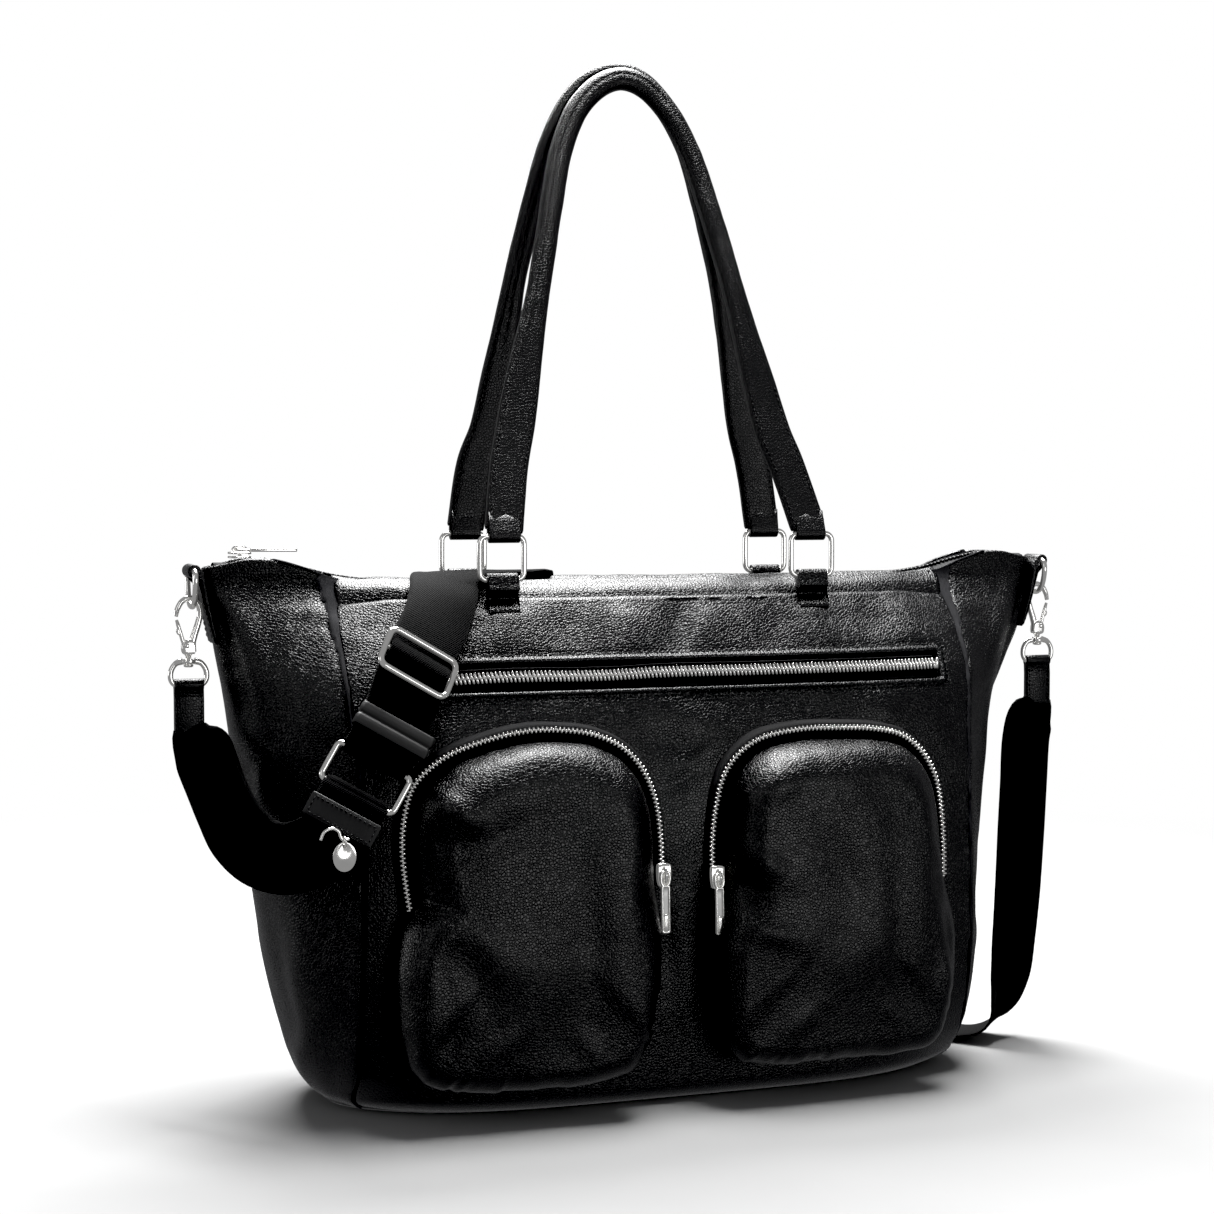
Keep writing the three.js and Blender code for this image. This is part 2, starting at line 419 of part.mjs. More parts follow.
function hook(side) {
  const X = SIDE.hookX, at = (x, z) => V(side * (X + x), 0, z);
  const bow = wire([at(-1.6, 257.5), at(-2.6, 261), at(-5.2, 268), at(-6.4, 273), at(-5.6, 278.4), at(-1.6, 282.2), at(3, 280.6), at(5.8, 276), at(6.6, 272.5)], 1.4, false, 16, V(0, 1, 0), 6);
  const block = new THREE.BoxGeometry(6.4, 5.2, 6.4).translate(side * X, 0, 255.2);
  const slot = new THREE.BoxGeometry(4.2, 2.6, 5).translate(side * (X + 2.6), 0, 257.6);
  const post = new THREE.CylinderGeometry(1.5, 1.5, 7, 12).rotateX(Math.PI / 2).translate(side * X, 0, 249.2);
  const foot = new THREE.CylinderGeometry(2.6, 2.6, 1.4, 12).rotateX(Math.PI / 2).translate(side * X, 0, 245.4);
  return join(cut(join(block, bow), slot), post, foot);
}
function gate(side) {
  const X = SIDE.hookX, at = (x, z) => V(side * (X + x), 0, z);
  return wire([at(2.4, 257.2), at(3.4, 261), at(5, 266), at(6.5, 270.6)], 1.05, false, 6, V(0, 1, 0), 8);
}
function swivelLoop(side) {
  const X = SIDE.hookX, at = (x, z) => V(side * (X + x), 0, z);
  const collar = plate(circle(0, 0, 4, 16), 2, [circle(0, 0, 1.8, 12).reverse()]).translate(side * X, 0, 247.6);
  const bow = wire([at(3.3, 247.6), at(7, 246.4), at(9.4, 242), at(9.2, 237.4), at(7, 235), at(0, 235), at(-7, 235), at(-9.2, 237.4), at(-9.4, 242), at(-7, 246.4), at(-3.3, 247.6)], 1.3, false, 20, V(0, 1, 0), 6);
  return join(collar, bow);
}
function chape(side) {
  const eye = plate(circle(0, 0, 3.5, 16), 14, [circle(0, 0, 1.6, 12).reverse()]);
  const tongue = plate([[-1.9, -2.6], [1.9, -2.6], [2.4, -20.3], [-1.4, -20.3]], 14);
  const g = cut(join(eye, tongue), new THREE.CylinderGeometry(1.6, 1.6, 20, 12).rotateX(Math.PI / 2));
  return place(g, V(side * SIDE.hookX, 0, SIDE.loopZ), V(0, -1, 0), V(0, 0, 1), V(-1, 0, 0));
}

// --------------------------------------------------------------- the webbing
// stations: centre, outward face of the webbing there, width
const EYE = { o: V(-186, -87, 191), t: V(0.53, 0.12, 0.84).normalize(), n: V(-0.3, -0.95, 0.1) };
EYE.n.addScaledVector(EYE.t, -EYE.n.dot(EYE.t)).normalize();
EYE.w = EYE.t.clone().cross(EYE.n);
const eye = (a, b, c) => EYE.o.clone().addScaledVector(EYE.t, a).addScaledVector(EYE.w, b).addScaledVector(EYE.n, c);
const st = (p, n, width = WEB_W) => ({ p, n, width });
const FACE = V(-0.32, -0.94, 0.1);
const SHORT = [
  st(V(-262.6, -1.5, 212.2), V(0, -1, 0), 14), st(V(-261.6, -3, 208), V(-0.2, -0.98, 0), 21), st(V(-257, -8.5, 199), V(-0.5, -0.86, 0), 34), st(V(-253.5, -18, 186), V(-0.68, -0.73, 0.05)),
  st(V(-250, -30, 172.5), V(-0.7, -0.7, 0.1)), st(V(-245, -43, 159.5), V(-0.6, -0.79, 0.1)), st(V(-236, -55, 150), V(-0.45, -0.88, 0.1)), st(V(-225.5, -67, 147.5), FACE),
  st(V(-215.5, -79, 151.3), FACE), st(eye(-38, 0, 2.6), EYE.n), st(eye(-30, 0, 2.9), EYE.n), st(eye(-20, 0, 2.9), EYE.n),
  st(eye(-10.5, 0, 2.9), EYE.n),
];
const LONG = [
  st(eye(10.5, 0, 2.9), EYE.n), st(eye(17, 0, 2.9), EYE.n), st(V(-169.7, -84.5, 215.1), V(-0.1, -0.95, 0.3)), st(V(-162.5, -79.2, 232), V(0.05, -0.93, 0.35)),
  st(V(-154.7, -73, 248.7), V(0.2, -0.92, 0.28)), st(V(-138.5, -57, 270.5), V(0.09, -0.88, 0.44)), st(V(-130.3, -42.6, 285.4), V(0, -0.72, 0.7)), st(V(-126.4, -31, 291.6), V(0, -0.35, 0.94)),
  st(V(-116, -17.5, 294), V(0, 0, 1)), st(V(-98, -4, 294.3), V(0, 0, 1)), st(V(-80, 9, 294.2), V(0, 0, 1)), st(V(-67, 23, 293), V(0, 0.1, 1)),
  st(V(-60, 37, 287.5), V(0, 0.6, 0.8)), st(V(-59, 46, 276), V(0, 0.8, 0.6)), st(V(-58, 62, 251), V(0, 0.92, 0.38)), st(V(-55, 76.5, 200), V(0, 1, 0)),
  st(V(-48, 80, 120), V(0, 1, 0)), st(V(-38, 81, 50), V(0, 1, 0)), st(V(-28, 84, 22), V(0, 0.9, 0.3)), st(V(-10, 93, 8.5), V(0, 0.4, 0.9)),
  st(V(20, 106, 2.4), V(0, 0, 1)), st(V(80, 112, 1.5), V(0, 0, 1)), st(V(138, 96, 1.5), V(0, 0, 1)), st(V(183, 73, 1.5), V(0, 0, 1)),
  st(V(208, 40, 1.7), V(0, 0, 1)), st(V(222, 17, 3), V(0, 0, 1)), st(V(233.5, 4, 9.5), V(-0.48, 0.31, 0.82)), st(V(241, 0, 21.5), V(-0.5, 0.81, 0.32)),
  st(V(245.5, -1, 40), V(-0.36, 0.93, 0.03)), st(V(247.3, -1.5, 62), V(-0.3, 0.95, 0)), st(V(249, -2.5, 90), V(-0.25, 0.97, 0)), st(V(250.9, -3, 130), V(-0.22, 0.975, 0)),
  st(V(252.4, -3, 160), V(-0.22, 0.975, 0)), st(V(254, -2.8, 188), V(-0.22, 0.975, 0)), st(V(257, -2.4, 199.5), V(-0.18, 0.98, 0), 34), st(V(261.6, -1.8, 208), V(-0.05, 1, 0), 21),
  st(V(262.6, -1.5, 212.2), V(0, 1, 0), 14),
];
// centre line and frame of a strap run: at(t) gives point, tangent, half
// width vector and outward face at t, stations evenly spaced in t
function strapFrame(stations) {
  const c = new THREE.CatmullRomCurve3(stations.map(s => s.p), false, 'centripetal');
  const n = stations.length - 1, tangent = t => c.getPoint(Math.min(1, t + 1e-4)).sub(c.getPoint(Math.max(0, t - 1e-4))).normalize();
  const w = new THREE.CatmullRomCurve3(stations.map((s, i) => s.n.clone().cross(tangent(i / n)).normalize().multiplyScalar(s.width / 2)), false, 'catmullrom', 0.5);
  return t => {
    const p = c.getPoint(t), d = tangent(t), a = w.getPoint(t), half = a.length();
    a.addScaledVector(d, -a.dot(d)).normalize();
    return { p, d, a, half, q: d.clone().cross(a).normalize() };
  };
}
function webbing(stations, steps) {
  const at = strapFrame(stations), n = stations.length - 1, rings = [];
  for (let i = 0; i < n; i++) {
    const m = Math.max(1, Math.round(stations[i].p.distanceTo(stations[i + 1].p) / steps));
    for (let k = 0; k < m + (i === n - 1 ? 1 : 0); k++) {
      const { p, a, q, half } = at((i + k / m) / n);
      rings.push([[1, 0.5], [1, -0.5], [-1, -0.5], [-1, 0.5]].map(([x, y]) => p.clone().addScaledVector(a, x * half).addScaledVector(q, y * WEB_T)));
    }
  }
  return loft(rings);
}
const eyeLoop = along => {               // webbing turned round a bar of the eye
  const g = plate(circle(0, 0, 3.8, 16), WEB_W - 2, [circle(0, 0, 1.95, 12).reverse()]);
  return place(g, eye(along, 0, 0), EYE.n, EYE.t, EYE.n.clone().cross(EYE.t));
};
const flatAt = (g, o, w, t) => {         // x across, y along, z out of the front
  const W = w.clone().normalize(), T = t.clone().addScaledVector(W, -W.dot(t)).normalize(), N = W.clone().cross(T);
  if (N.y > 0) { N.negate(); return place(g, o, W, T.clone().negate(), N); }
  return place(g, o, W, T, N);
};
const longAt = i => strapFrame(LONG)(i / (LONG.length - 1));
function keeper() {
  const g = new THREE.ExtrudeGeometry(new THREE.Shape(roundRect(44, 8.8, 1.6, 2).map(([x, y]) => new THREE.Vector2(x, y))), { depth: 13, bevelEnabled: false }).translate(0, 0, -6.5);
  const hole = new THREE.BoxGeometry(40.6, 5.4, 20), f = longAt(2);
  return flatAt(cut(g, hole).rotateX(Math.PI / 2), f.p, f.a, f.d);
}
function slideBuckle() {
  const frame = wireLoop(roundRect(41, 22, 4.5, 3).map(([x, y]) => V(x, y, 0)), 1.7, V(0, 0, 1), 8);
  const bar = new THREE.CylinderGeometry(1.3, 1.3, 41, 10).rotateZ(Math.PI / 2), f = longAt(4);
  return flatAt(join(frame, bar).translate(0, 0, 3.7), f.p, f.a, f.d);
}
const loopRing = () => flatAt(wireLoop(roundRect(42.4, 21, 2.5, 3).map(([x, y]) => V(x, y, 0)), 1.5, V(0, 0, 1), 8), EYE.o.clone(), EYE.w, EYE.t);
function strapEnd() {
  return flatAt(new THREE.BoxGeometry(40, 12.5, 2.2), eye(-26, 0, 5.6), EYE.w, EYE.t);
}
// charm: open curved hook, link and a plain oval disc in front of the strap end
const CHARM = V(-207, -102.5, 164);
const charmHook = () => wire([V(-7, -2.5, 0), V(-5, 1.6, 0), V(-0.8, 3.4, 0), V(2.6, 1.6, 0), V(3.4, -0.8, 0), V(4.6, -2.6, 0), V(8, -2.6, 0)].map(p => V(p.x, 0, p.y).add(CHARM)), 0.8, false, 14, V(0, 1, 0), 6);
const charmLink = () => wireLoop(circle(0, 0, 2.6, 14).map(([y, z]) => V(5.6, y, z - 3.7).add(CHARM)), 0.5, V(1, 0, 0), 6);
const charmDisc = () => plate(circle(0, -5.2, 1, 28).map(([x, y]) => [x * 5.6, (y + 5.2) * 7 - 5.2]), 1, [circle(0, 0, 1.15, 8).reverse()]).rotateX(Math.PI / 2).translate(CHARM.x + 5.6, CHARM.y, CHARM.z - 5.8);

// ------------------------------------------------------------------ assembly
const MATS = {
  leather: { color: 0x141416, roughness: 0.5, metalness: 0 },
  webbing: { color: 0x0d0d0e, roughness: 0.9, metalness: 0 },
  tape: { color: 0x0c0c0d, roughness: 0.85, metalness: 0 },
  lining: { color: 0x4a4a4e, roughness: 0.85, metalness: 0 },
  steel: { color: 0xc9c9c6, roughness: 0.18, metalness: 1 },
  teeth: { color: 0xb9b9b6, roughness: 0.3, metalness: 1 },
};
const group = new THREE.Group();
function add(name, g, mat) {
  const m = new THREE.Mesh(g, new THREE.MeshStandardMaterial(MATS[mat]));
  m.name = name;
  group.add(m);
}

const slot = box(-SLOT.x, SLOT.x, -90, -30, SLOT.z0, SLOT.z1);
add('front_panel', cut(panel(wall, 22, 14), slot), 'leather');
add('back_panel', panel(back, 18, 11), 'leather');
add('gusset_left', gusset(-1, 12, 14), 'leather');
add('gusset_right', gusset(1, 12, 14), 'leather');
add('base_panel', basePanel(), 'leather');
add('lining', lining(), 'lining');
add('top_band_front', band(-1), 'leather');
add('top_band_back', band(1), 'leather');
add('top_zip', topZip(), 'tape');
add('front_zip', frontZip(), 'teeth');

// sliders and pulls
{
  const t = V(1, 0, (zipZ(229) - zipZ(240)) / -11).normalize();
  const n = V(-t.z, 0, t.x);
  const o = V(-234, 0, zipZ(234) + 1.4);
  add('top_slider', place(slider(8.4, 11.5, 3.4).rotateZ(Math.PI), o, V(0, -1, 0), t, n), 'steel');
  add('top_pull', place(pull(6.6, 33, 1.4).rotateZ(Math.PI), o.clone().addScaledVector(n, 4.5).addScaledVector(t, -1.45), V(0, -1, 0), t, n), 'steel');
}
{
  const o = V(-150, -frontY - 0.4, 239);
  add('front_slider', place(slider(8.4, 11.5, 3.2), o, V(0, 0, -1), V(-1, 0, 0), V(0, -1, 0)), 'steel');
  add('front_pull', place(hangingPull(6.4, 23.6, 1.3).rotateX(-0.24), o.clone().add(V(0.4, -6.2, 0)), V(1, 0, 0), V(0, 0, 1), V(0, -1, 0)), 'steel');
}
for (const [side, p] of Object.entries(POCKETS)) {
  const f = pocketFrame(p);
  add(`pocket_${side}`, pocketShell(p, f), 'leather');
  add(`pocket_zip_${side}`, pocketZip(p, f, -16, -20), 'teeth');
  const o = f.o.clone().addScaledVector(f.ex, -p.sign * POCKET_R).addScaledVector(f.ey, -8).addScaledVector(f.n, 3.4);
  add(`pocket_slider_${side}`, place(slider(8, 12, 3.2), o, f.ex, f.ey, f.n), 'steel');
  add(`pocket_pull_${side}`, place(pull(6.4, 33, 1.4), o.clone().addScaledVector(f.n, 4.3).addScaledVector(f.ey, 1.45), f.ex, f.ey, f.n), 'steel');
}

// handles
for (const [name, s] of [['front', -1], ['back', 1]]) {
  add(`handle_${name}`, handle(s), 'leather');
  for (const [lr, k] of [['left', -1], ['right', 1]]) {
    add(`ring_${name}_${lr}`, ringAt(ringX(s, k), s * RING_Y), 'steel');
    add(`ring_tab_${name}_${lr}`, tab(ringX(s, k), s), 'leather');
  }
}

// side hardware
for (const [name, s] of [['left', -1], ['right', 1]]) {
  add(`side_tab_${name}`, sideTab(s), 'leather');
  add(`d_ring_${name}`, dRing(s), 'steel');
  add(`hook_${name}`, hook(s), 'steel');
  add(`hook_gate_${name}`, gate(s), 'steel');
  add(`swivel_loop_${name}`, swivelLoop(s), 'steel');
  add(`chape_${name}`, chape(s), 'leather');
}

// strap and what rides on it
add('strap_short', join(webbing(SHORT, 9), eyeLoop(-10.5)), 'webbing');
add('strap_long', join(webbing(LONG, 14), eyeLoop(10.5)), 'webbing');
add('strap_end', strapEnd(), 'leather');
add('strap_keeper', keeper(), 'leather');
add('slide_buckle', slideBuckle(), 'steel');
add('strap_loop_ring', loopRing(), 'steel');
add('charm_hook', charmHook(), 'steel');
add('charm_link', charmLink(), 'steel');
add('charm_disc', charmDisc(), 'steel');

export default group;
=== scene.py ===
import math
import bpy, bmesh
import numpy as np
from mathutils import Vector, Matrix


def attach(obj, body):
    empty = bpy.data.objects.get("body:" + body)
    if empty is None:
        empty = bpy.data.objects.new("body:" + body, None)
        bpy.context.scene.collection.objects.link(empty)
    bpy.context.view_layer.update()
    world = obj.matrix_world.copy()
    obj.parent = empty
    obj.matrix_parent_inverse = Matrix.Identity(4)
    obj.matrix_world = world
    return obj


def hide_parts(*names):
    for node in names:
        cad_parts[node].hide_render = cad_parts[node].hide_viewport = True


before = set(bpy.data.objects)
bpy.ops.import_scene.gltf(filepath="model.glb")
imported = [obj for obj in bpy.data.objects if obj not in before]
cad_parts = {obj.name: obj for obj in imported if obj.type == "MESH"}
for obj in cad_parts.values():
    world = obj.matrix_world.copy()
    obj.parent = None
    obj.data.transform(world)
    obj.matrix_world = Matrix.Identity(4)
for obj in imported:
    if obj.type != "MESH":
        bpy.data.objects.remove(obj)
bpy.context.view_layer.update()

S = 0.001                                   # everything below is in millimetres

# ============================================================== camera
scene = bpy.context.scene
az, el, dist = math.radians(-20.0), math.radians(3.02537), 1419.806
right = np.array([math.cos(az), math.sin(az), 0.0])
back_v = np.array([math.sin(az) * math.cos(el), -math.cos(az) * math.cos(el), math.sin(el)])
up_v = np.cross(back_v, right)
target = right * -18.8825 + np.array([0, 0, 272.634])
cam_data = bpy.data.cameras.new("camera")
cam = bpy.data.objects.new("camera", cam_data)
scene.collection.objects.link(cam)
scene.camera = cam
cam_data.sensor_width = 36.0
cam_data.lens = 2445.446 / 1214 * 36.0
cam_data.clip_start, cam_data.clip_end = 0.05, 60
cam_data.dof.use_dof = False
loc = (target + back_v * dist) * S
cam.matrix_world = Matrix(((right[0], up_v[0], back_v[0], loc[0]), (right[1], up_v[1], back_v[1], loc[1]),
                           (right[2], up_v[2], back_v[2], loc[2]), (0, 0, 0, 1)))

# ============================================================== materials
class Nodes:
    """Short hand for building node trees."""
    def __init__(self, name):
        self.mat = bpy.data.materials.new(name)
        self.mat.use_nodes = True
        self.t = self.mat.node_tree
        self.t.nodes.clear()
        self.out = self.t.nodes.new("ShaderNodeOutputMaterial")
        self.bsdf = self.t.nodes.new("ShaderNodeBsdfPrincipled")
        self.t.links.new(self.bsdf.outputs[0], self.out.inputs[0])
    def n(self, kind, ins=None, **props):
        node = self.t.nodes.new("ShaderNode" + kind)
        for k, v in props.items():
            setattr(node, k, v)
        for k, v in (ins or {}).items():
            self.set(node, k, v)
        return node
    def set(self, node, key, v):
        sock = node.inputs[key]
        if isinstance(v, bpy.types.NodeSocket):
            self.t.links.new(v, sock)
        elif isinstance(v, bpy.types.Node):
            self.t.links.new(v.outputs[0], sock)
        else:
            sock.default_value = v
    def p(self, **ins):
        for k, v in ins.items():
            self.set(self.bsdf, k.replace("_", " "), v)
    def math(self, op, a, b=None, c=None, clamp=False):
        node = self.n("Math", operation=op, use_clamp=clamp)
        for i, v in enumerate((a, b, c)):
            if v is not None:
                self.set(node, i, v)
        return node.outputs[0]
    def ramp(self, fac, stops, interp="LINEAR"):
        node = self.n("ValToRGB")
        node.color_ramp.interpolation = interp
        el_ = node.color_ramp.elements
        while len(el_) < len(stops):
            el_.new(0.5)
        for e, (pos, col) in zip(el_, stops):
            e.position = pos
            e.color = (col, col, col, 1) if isinstance(col, (int, float)) else (*col, 1)
        self.set(node, 0, fac)
        return node.outputs[0]
    def coords(self, scale=1.0, stretch=(1, 1, 1), warp=0.0, warp_scale=60):
        tc = self.n("TexCoord").outputs["Object"]
        if warp:
            nz = self.n("TexNoise", {"Vector": tc, "Scale": warp_scale, "Detail": 2.0})
            off = self.n("VectorMath", {0: nz.outputs["Color"], 1: (0.5, 0.5, 0.5)}, operation="SUBTRACT")
            off = self.n("VectorMath", {0: off.outputs[0], "Scale": warp}, operation="SCALE")
            tc = self.n("VectorMath", {0: tc, 1: off.outputs[0]}, operation="ADD").outputs[0]
        return self.n("Mapping", {"Vector": tc, "Scale": tuple(scale * s for s in stretch)}).outputs[0]


def leather_material(name, grain=620.0, rough=0.27, colour=(0.0020, 0.0020, 0.0022), depth=0.00027, strength=0.85, spec=0.5):
    m = Nodes(name)
    c = m.coords(1.0, warp=0.0007, warp_scale=330)
    cell = m.n("TexVoronoi", {"Vector": c, "Scale": grain, "Randomness": 0.9}, feature="DISTANCE_TO_EDGE")
    dome = m.n("TexVoronoi", {"Vector": c, "Scale": grain, "Randomness": 0.9}, feature="F1")
    small = m.n("TexVoronoi", {"Vector": c, "Scale": grain * 2.1, "Randomness": 1.0}, feature="DISTANCE_TO_EDGE")
    fine = m.n("TexNoise", {"Vector": c, "Scale": grain * 5.0, "Detail": 3.0, "Roughness": 0.6})
    broad = m.n("TexNoise", {"Vector": c, "Scale": 30.0, "Detail": 3.0})
    wear = m.n("TexNoise", {"Vector": c, "Scale": 9.0, "Detail": 5.0, "Roughness": 0.55})
    top = m.ramp(cell.outputs["Distance"], [(0.0, 0.0), (0.10, 0.62), (0.26, 1.0)], "EASE")
    sm = m.ramp(small.outputs["Distance"], [(0.0, 0.0), (0.16, 1.0)], "EASE")
    h = m.math("ADD", m.math("MULTIPLY", top, 0.62), m.math("MULTIPLY", m.math("SUBTRACT", 1.0, dome.outputs["Distance"]), 0.34))
    h = m.math("ADD", h, m.math("MULTIPLY", sm, 0.06))
    h = m.math("ADD", h, m.math("MULTIPLY", fine.outputs[0], 0.03))
    h = m.math("MULTIPLY", h, m.math("MULTIPLY_ADD", broad.outputs[0], 0.6, 0.55))
    bump = m.n("Bump", {"Height": h, "Strength": strength, "Distance": depth})
    vary = m.ramp(wear.outputs[0], [(0.3, 0.0), (0.72, 1.0)])
    base = m.n("Mix", {"Factor": vary}, data_type="RGBA")
    m.set(base, 6, (*colour, 1)); m.set(base, 7, (colour[0] * 1.6, colour[1] * 1.6, colour[2] * 1.65, 1))
    r = m.math("ADD", m.math("MULTIPLY_ADD", vary, 0.06, rough), m.math("MULTIPLY", top, -0.05))
    m.p(Base_Color=base.outputs[2], Roughness=r, Normal=bump.outputs[0], IOR=1.47)
    m.set(m.bsdf, "Specular IOR Level", spec)
    return m.mat


def webbing_material(name):
    m = Nodes(name)
    uv = m.n("TexCoord").outputs["UV"]
    sep = m.n("SeparateXYZ", {0: uv})
    x, y = sep.outputs[0], sep.outputs[1]
    # twill: short diagonal floats stepping across warp ends
    w = m.math("SINE", m.math("MULTIPLY", m.math("ADD", x, m.math("MULTIPLY", y, 0.55)), 2 * math.pi * 900))
    rib = m.math("SINE", m.math("MULTIPLY", x, 2 * math.pi * 1500))
    edge = m.math("ABSOLUTE", m.math("SUBTRACT", m.math("MULTIPLY", x, 1 / 0.038), 0.5))
    edge = m.ramp(edge, [(0.44, 0.0), (0.47, 1.0)])
    weft = m.math("SINE", m.math("MULTIPLY", y, 2 * math.pi * 1300))
    nz = m.n("TexNoise", {"Vector": m.coords(1.0), "Scale": 1500.0, "Detail": 2.0})
    lint = m.n("TexNoise", {"Vector": m.coords(1.0), "Scale": 40.0, "Detail": 4.0})
    body = m.math("ADD", m.math("MULTIPLY", w, 0.6), m.math("MULTIPLY", rib, 0.3))
    h = m.math("ADD", body, m.math("MULTIPLY", m.math("MULTIPLY", weft, edge), 0.9))
    h = m.math("ADD", h, m.math("MULTIPLY", nz.outputs[0], 0.8))
    bump = m.n("Bump", {"Height": h, "Strength": 0.9, "Distance": 0.00022})
    col = m.ramp(m.math("MULTIPLY_ADD", lint.outputs[0], 0.7, m.math("MULTIPLY", w, 0.12)), [(0.15, (0.0010, 0.0010, 0.0011)), (0.8, (0.0026, 0.0026, 0.0028))])
    m.p(Base_Color=col, Roughness=0.86, Normal=bump.outputs[0])
    m.set(m.bsdf, "Specular IOR Level", 0.12)
    m.set(m.bsdf, "Sheen Weight", 0.045); m.set(m.bsdf, "Sheen Roughness", 0.5)
    return m.mat


def fabric_material(name, colour=(0.005, 0.005, 0.0055), scale=900.0, rough=0.85):
    m = Nodes(name)
    c = m.coords(scale)
    w1 = m.n("TexWave", {"Vector": c, "Scale": 1.0, "Distortion": 0.6}, wave_type="BANDS", bands_direction="DIAGONAL")
    nz = m.n("TexNoise", {"Vector": m.coords(1.0), "Scale": 60.0, "Detail": 3.0})
    bump = m.n("Bump", {"Height": w1.outputs[0], "Strength": 0.5, "Distance": 0.00015})
    col = m.ramp(nz.outputs[0], [(0.3, tuple(0.7 * v for v in colour)), (0.75, tuple(1.4 * v for v in colour))])
    m.p(Base_Color=col, Roughness=rough, Normal=bump.outputs[0])
    m.set(m.bsdf, "Specular IOR Level", 0.3)
    return m.mat


def metal_material(name, colour=(0.80, 0.795, 0.775), rough=0.11, scratch=0.03):
    m = Nodes(name)
    c = m.coords(1.0)
    n1 = m.n("TexNoise", {"Vector": c, "Scale": 240.0, "Detail": 5.0, "Roughness": 0.7})
    n2 = m.n("TexNoise", {"Vector": m.coords(1.0, stretch=(1, 1, 9)), "Scale": 420.0, "Detail": 2.0})
    r = m.math("ADD", m.math("MULTIPLY_ADD", n1.outputs[0], 0.10, rough - 0.05), m.math("MULTIPLY", n2.outputs[0], scratch))
    col = m.ramp(n1.outputs[0], [(0.25, tuple(0.9 * v for v in colour)), (0.7, colour)])
    bump = m.n("Bump", {"Height": n1.outputs[0], "Strength": 0.12, "Distance": 0.0001})
    m.p(Base_Color=col, Metallic=1.0, Roughness=r, Normal=bump.outputs[0])
    # painted glow: a faint emission in the metal's own colour makes it brighter than its reflections alone
    m.set(m.bsdf, "Emission Color", (*colour, 1)); m.set(m.bsdf, "Emission Strength", 0.10)
    return m.mat


def plain_material(name, colour, rough, spec=0.5, noise_scale=300.0, bump_d=0.00008):
    m = Nodes(name)
    n1 = m.n("TexNoise", {"Vector": m.coords(1.0), "Scale": noise_scale, "Detail": 4.0})
    col = m.ramp(n1.outputs[0], [(0.3, tuple(0.75 * v for v in colour)), (0.75, tuple(1.3 * v for v in colour))])
    bump = m.n("Bump", {"Height": n1.outputs[0], "Strength": 0.5, "Distance": bump_d})
    m.p(Base_Color=col, Roughness=rough, Normal=bump.outputs[0])
    m.set(m.bsdf, "Specular IOR Level", spec)
    return m.mat


LEATHER = leather_material("leather_pebbled")
SMOOTH = leather_material("leather_trim", grain=660.0, rough=0.33, depth=0.00024, strength=0.7)
EDGE = plain_material("leather_edge_paint", (0.004, 0.004, 0.0042), 0.5)
WEB = webbing_material("webbing_twill")
TAPE = fabric_material("zip_tape", (0.0045, 0.0045, 0.005), 1100.0, 0.8)
COIL = plain_material("zip_coil", (0.006, 0.006, 0.0065), 0.32, 0.5)
LINING = fabric_material("lining_fabric", (0.02, 0.02, 0.022), 1000.0, 0.9)
THREAD = plain_material("thread", (0.006, 0.006, 0.0065), 0.55, 0.4, 2500.0)
METAL = metal_material("nickel_polished")
TEETH = metal_material("nickel_teeth", (0.84, 0.835, 0.82), 0.16)
# near-black matte colour for the seam cords and the band's lower-edge wire: a painted shadow line in the seam grooves
SEAM = plain_material("seam_shadow", (0.0008, 0.0008, 0.0009), 0.9, 0.08)
# near-black colour meant as painted shade in hardware recesses; no part is given it
DARK = plain_material("hardware_recess_shade", (0.01, 0.01, 0.01), 0.4)

# ============================================================== mesh helpers
def arr(*v):
    return np.array(v, float)

def unit(v):
    v = np.asarray(v, float)
    return v / np.maximum(np.linalg.norm(v, axis=-1, keepdims=True), 1e-12)

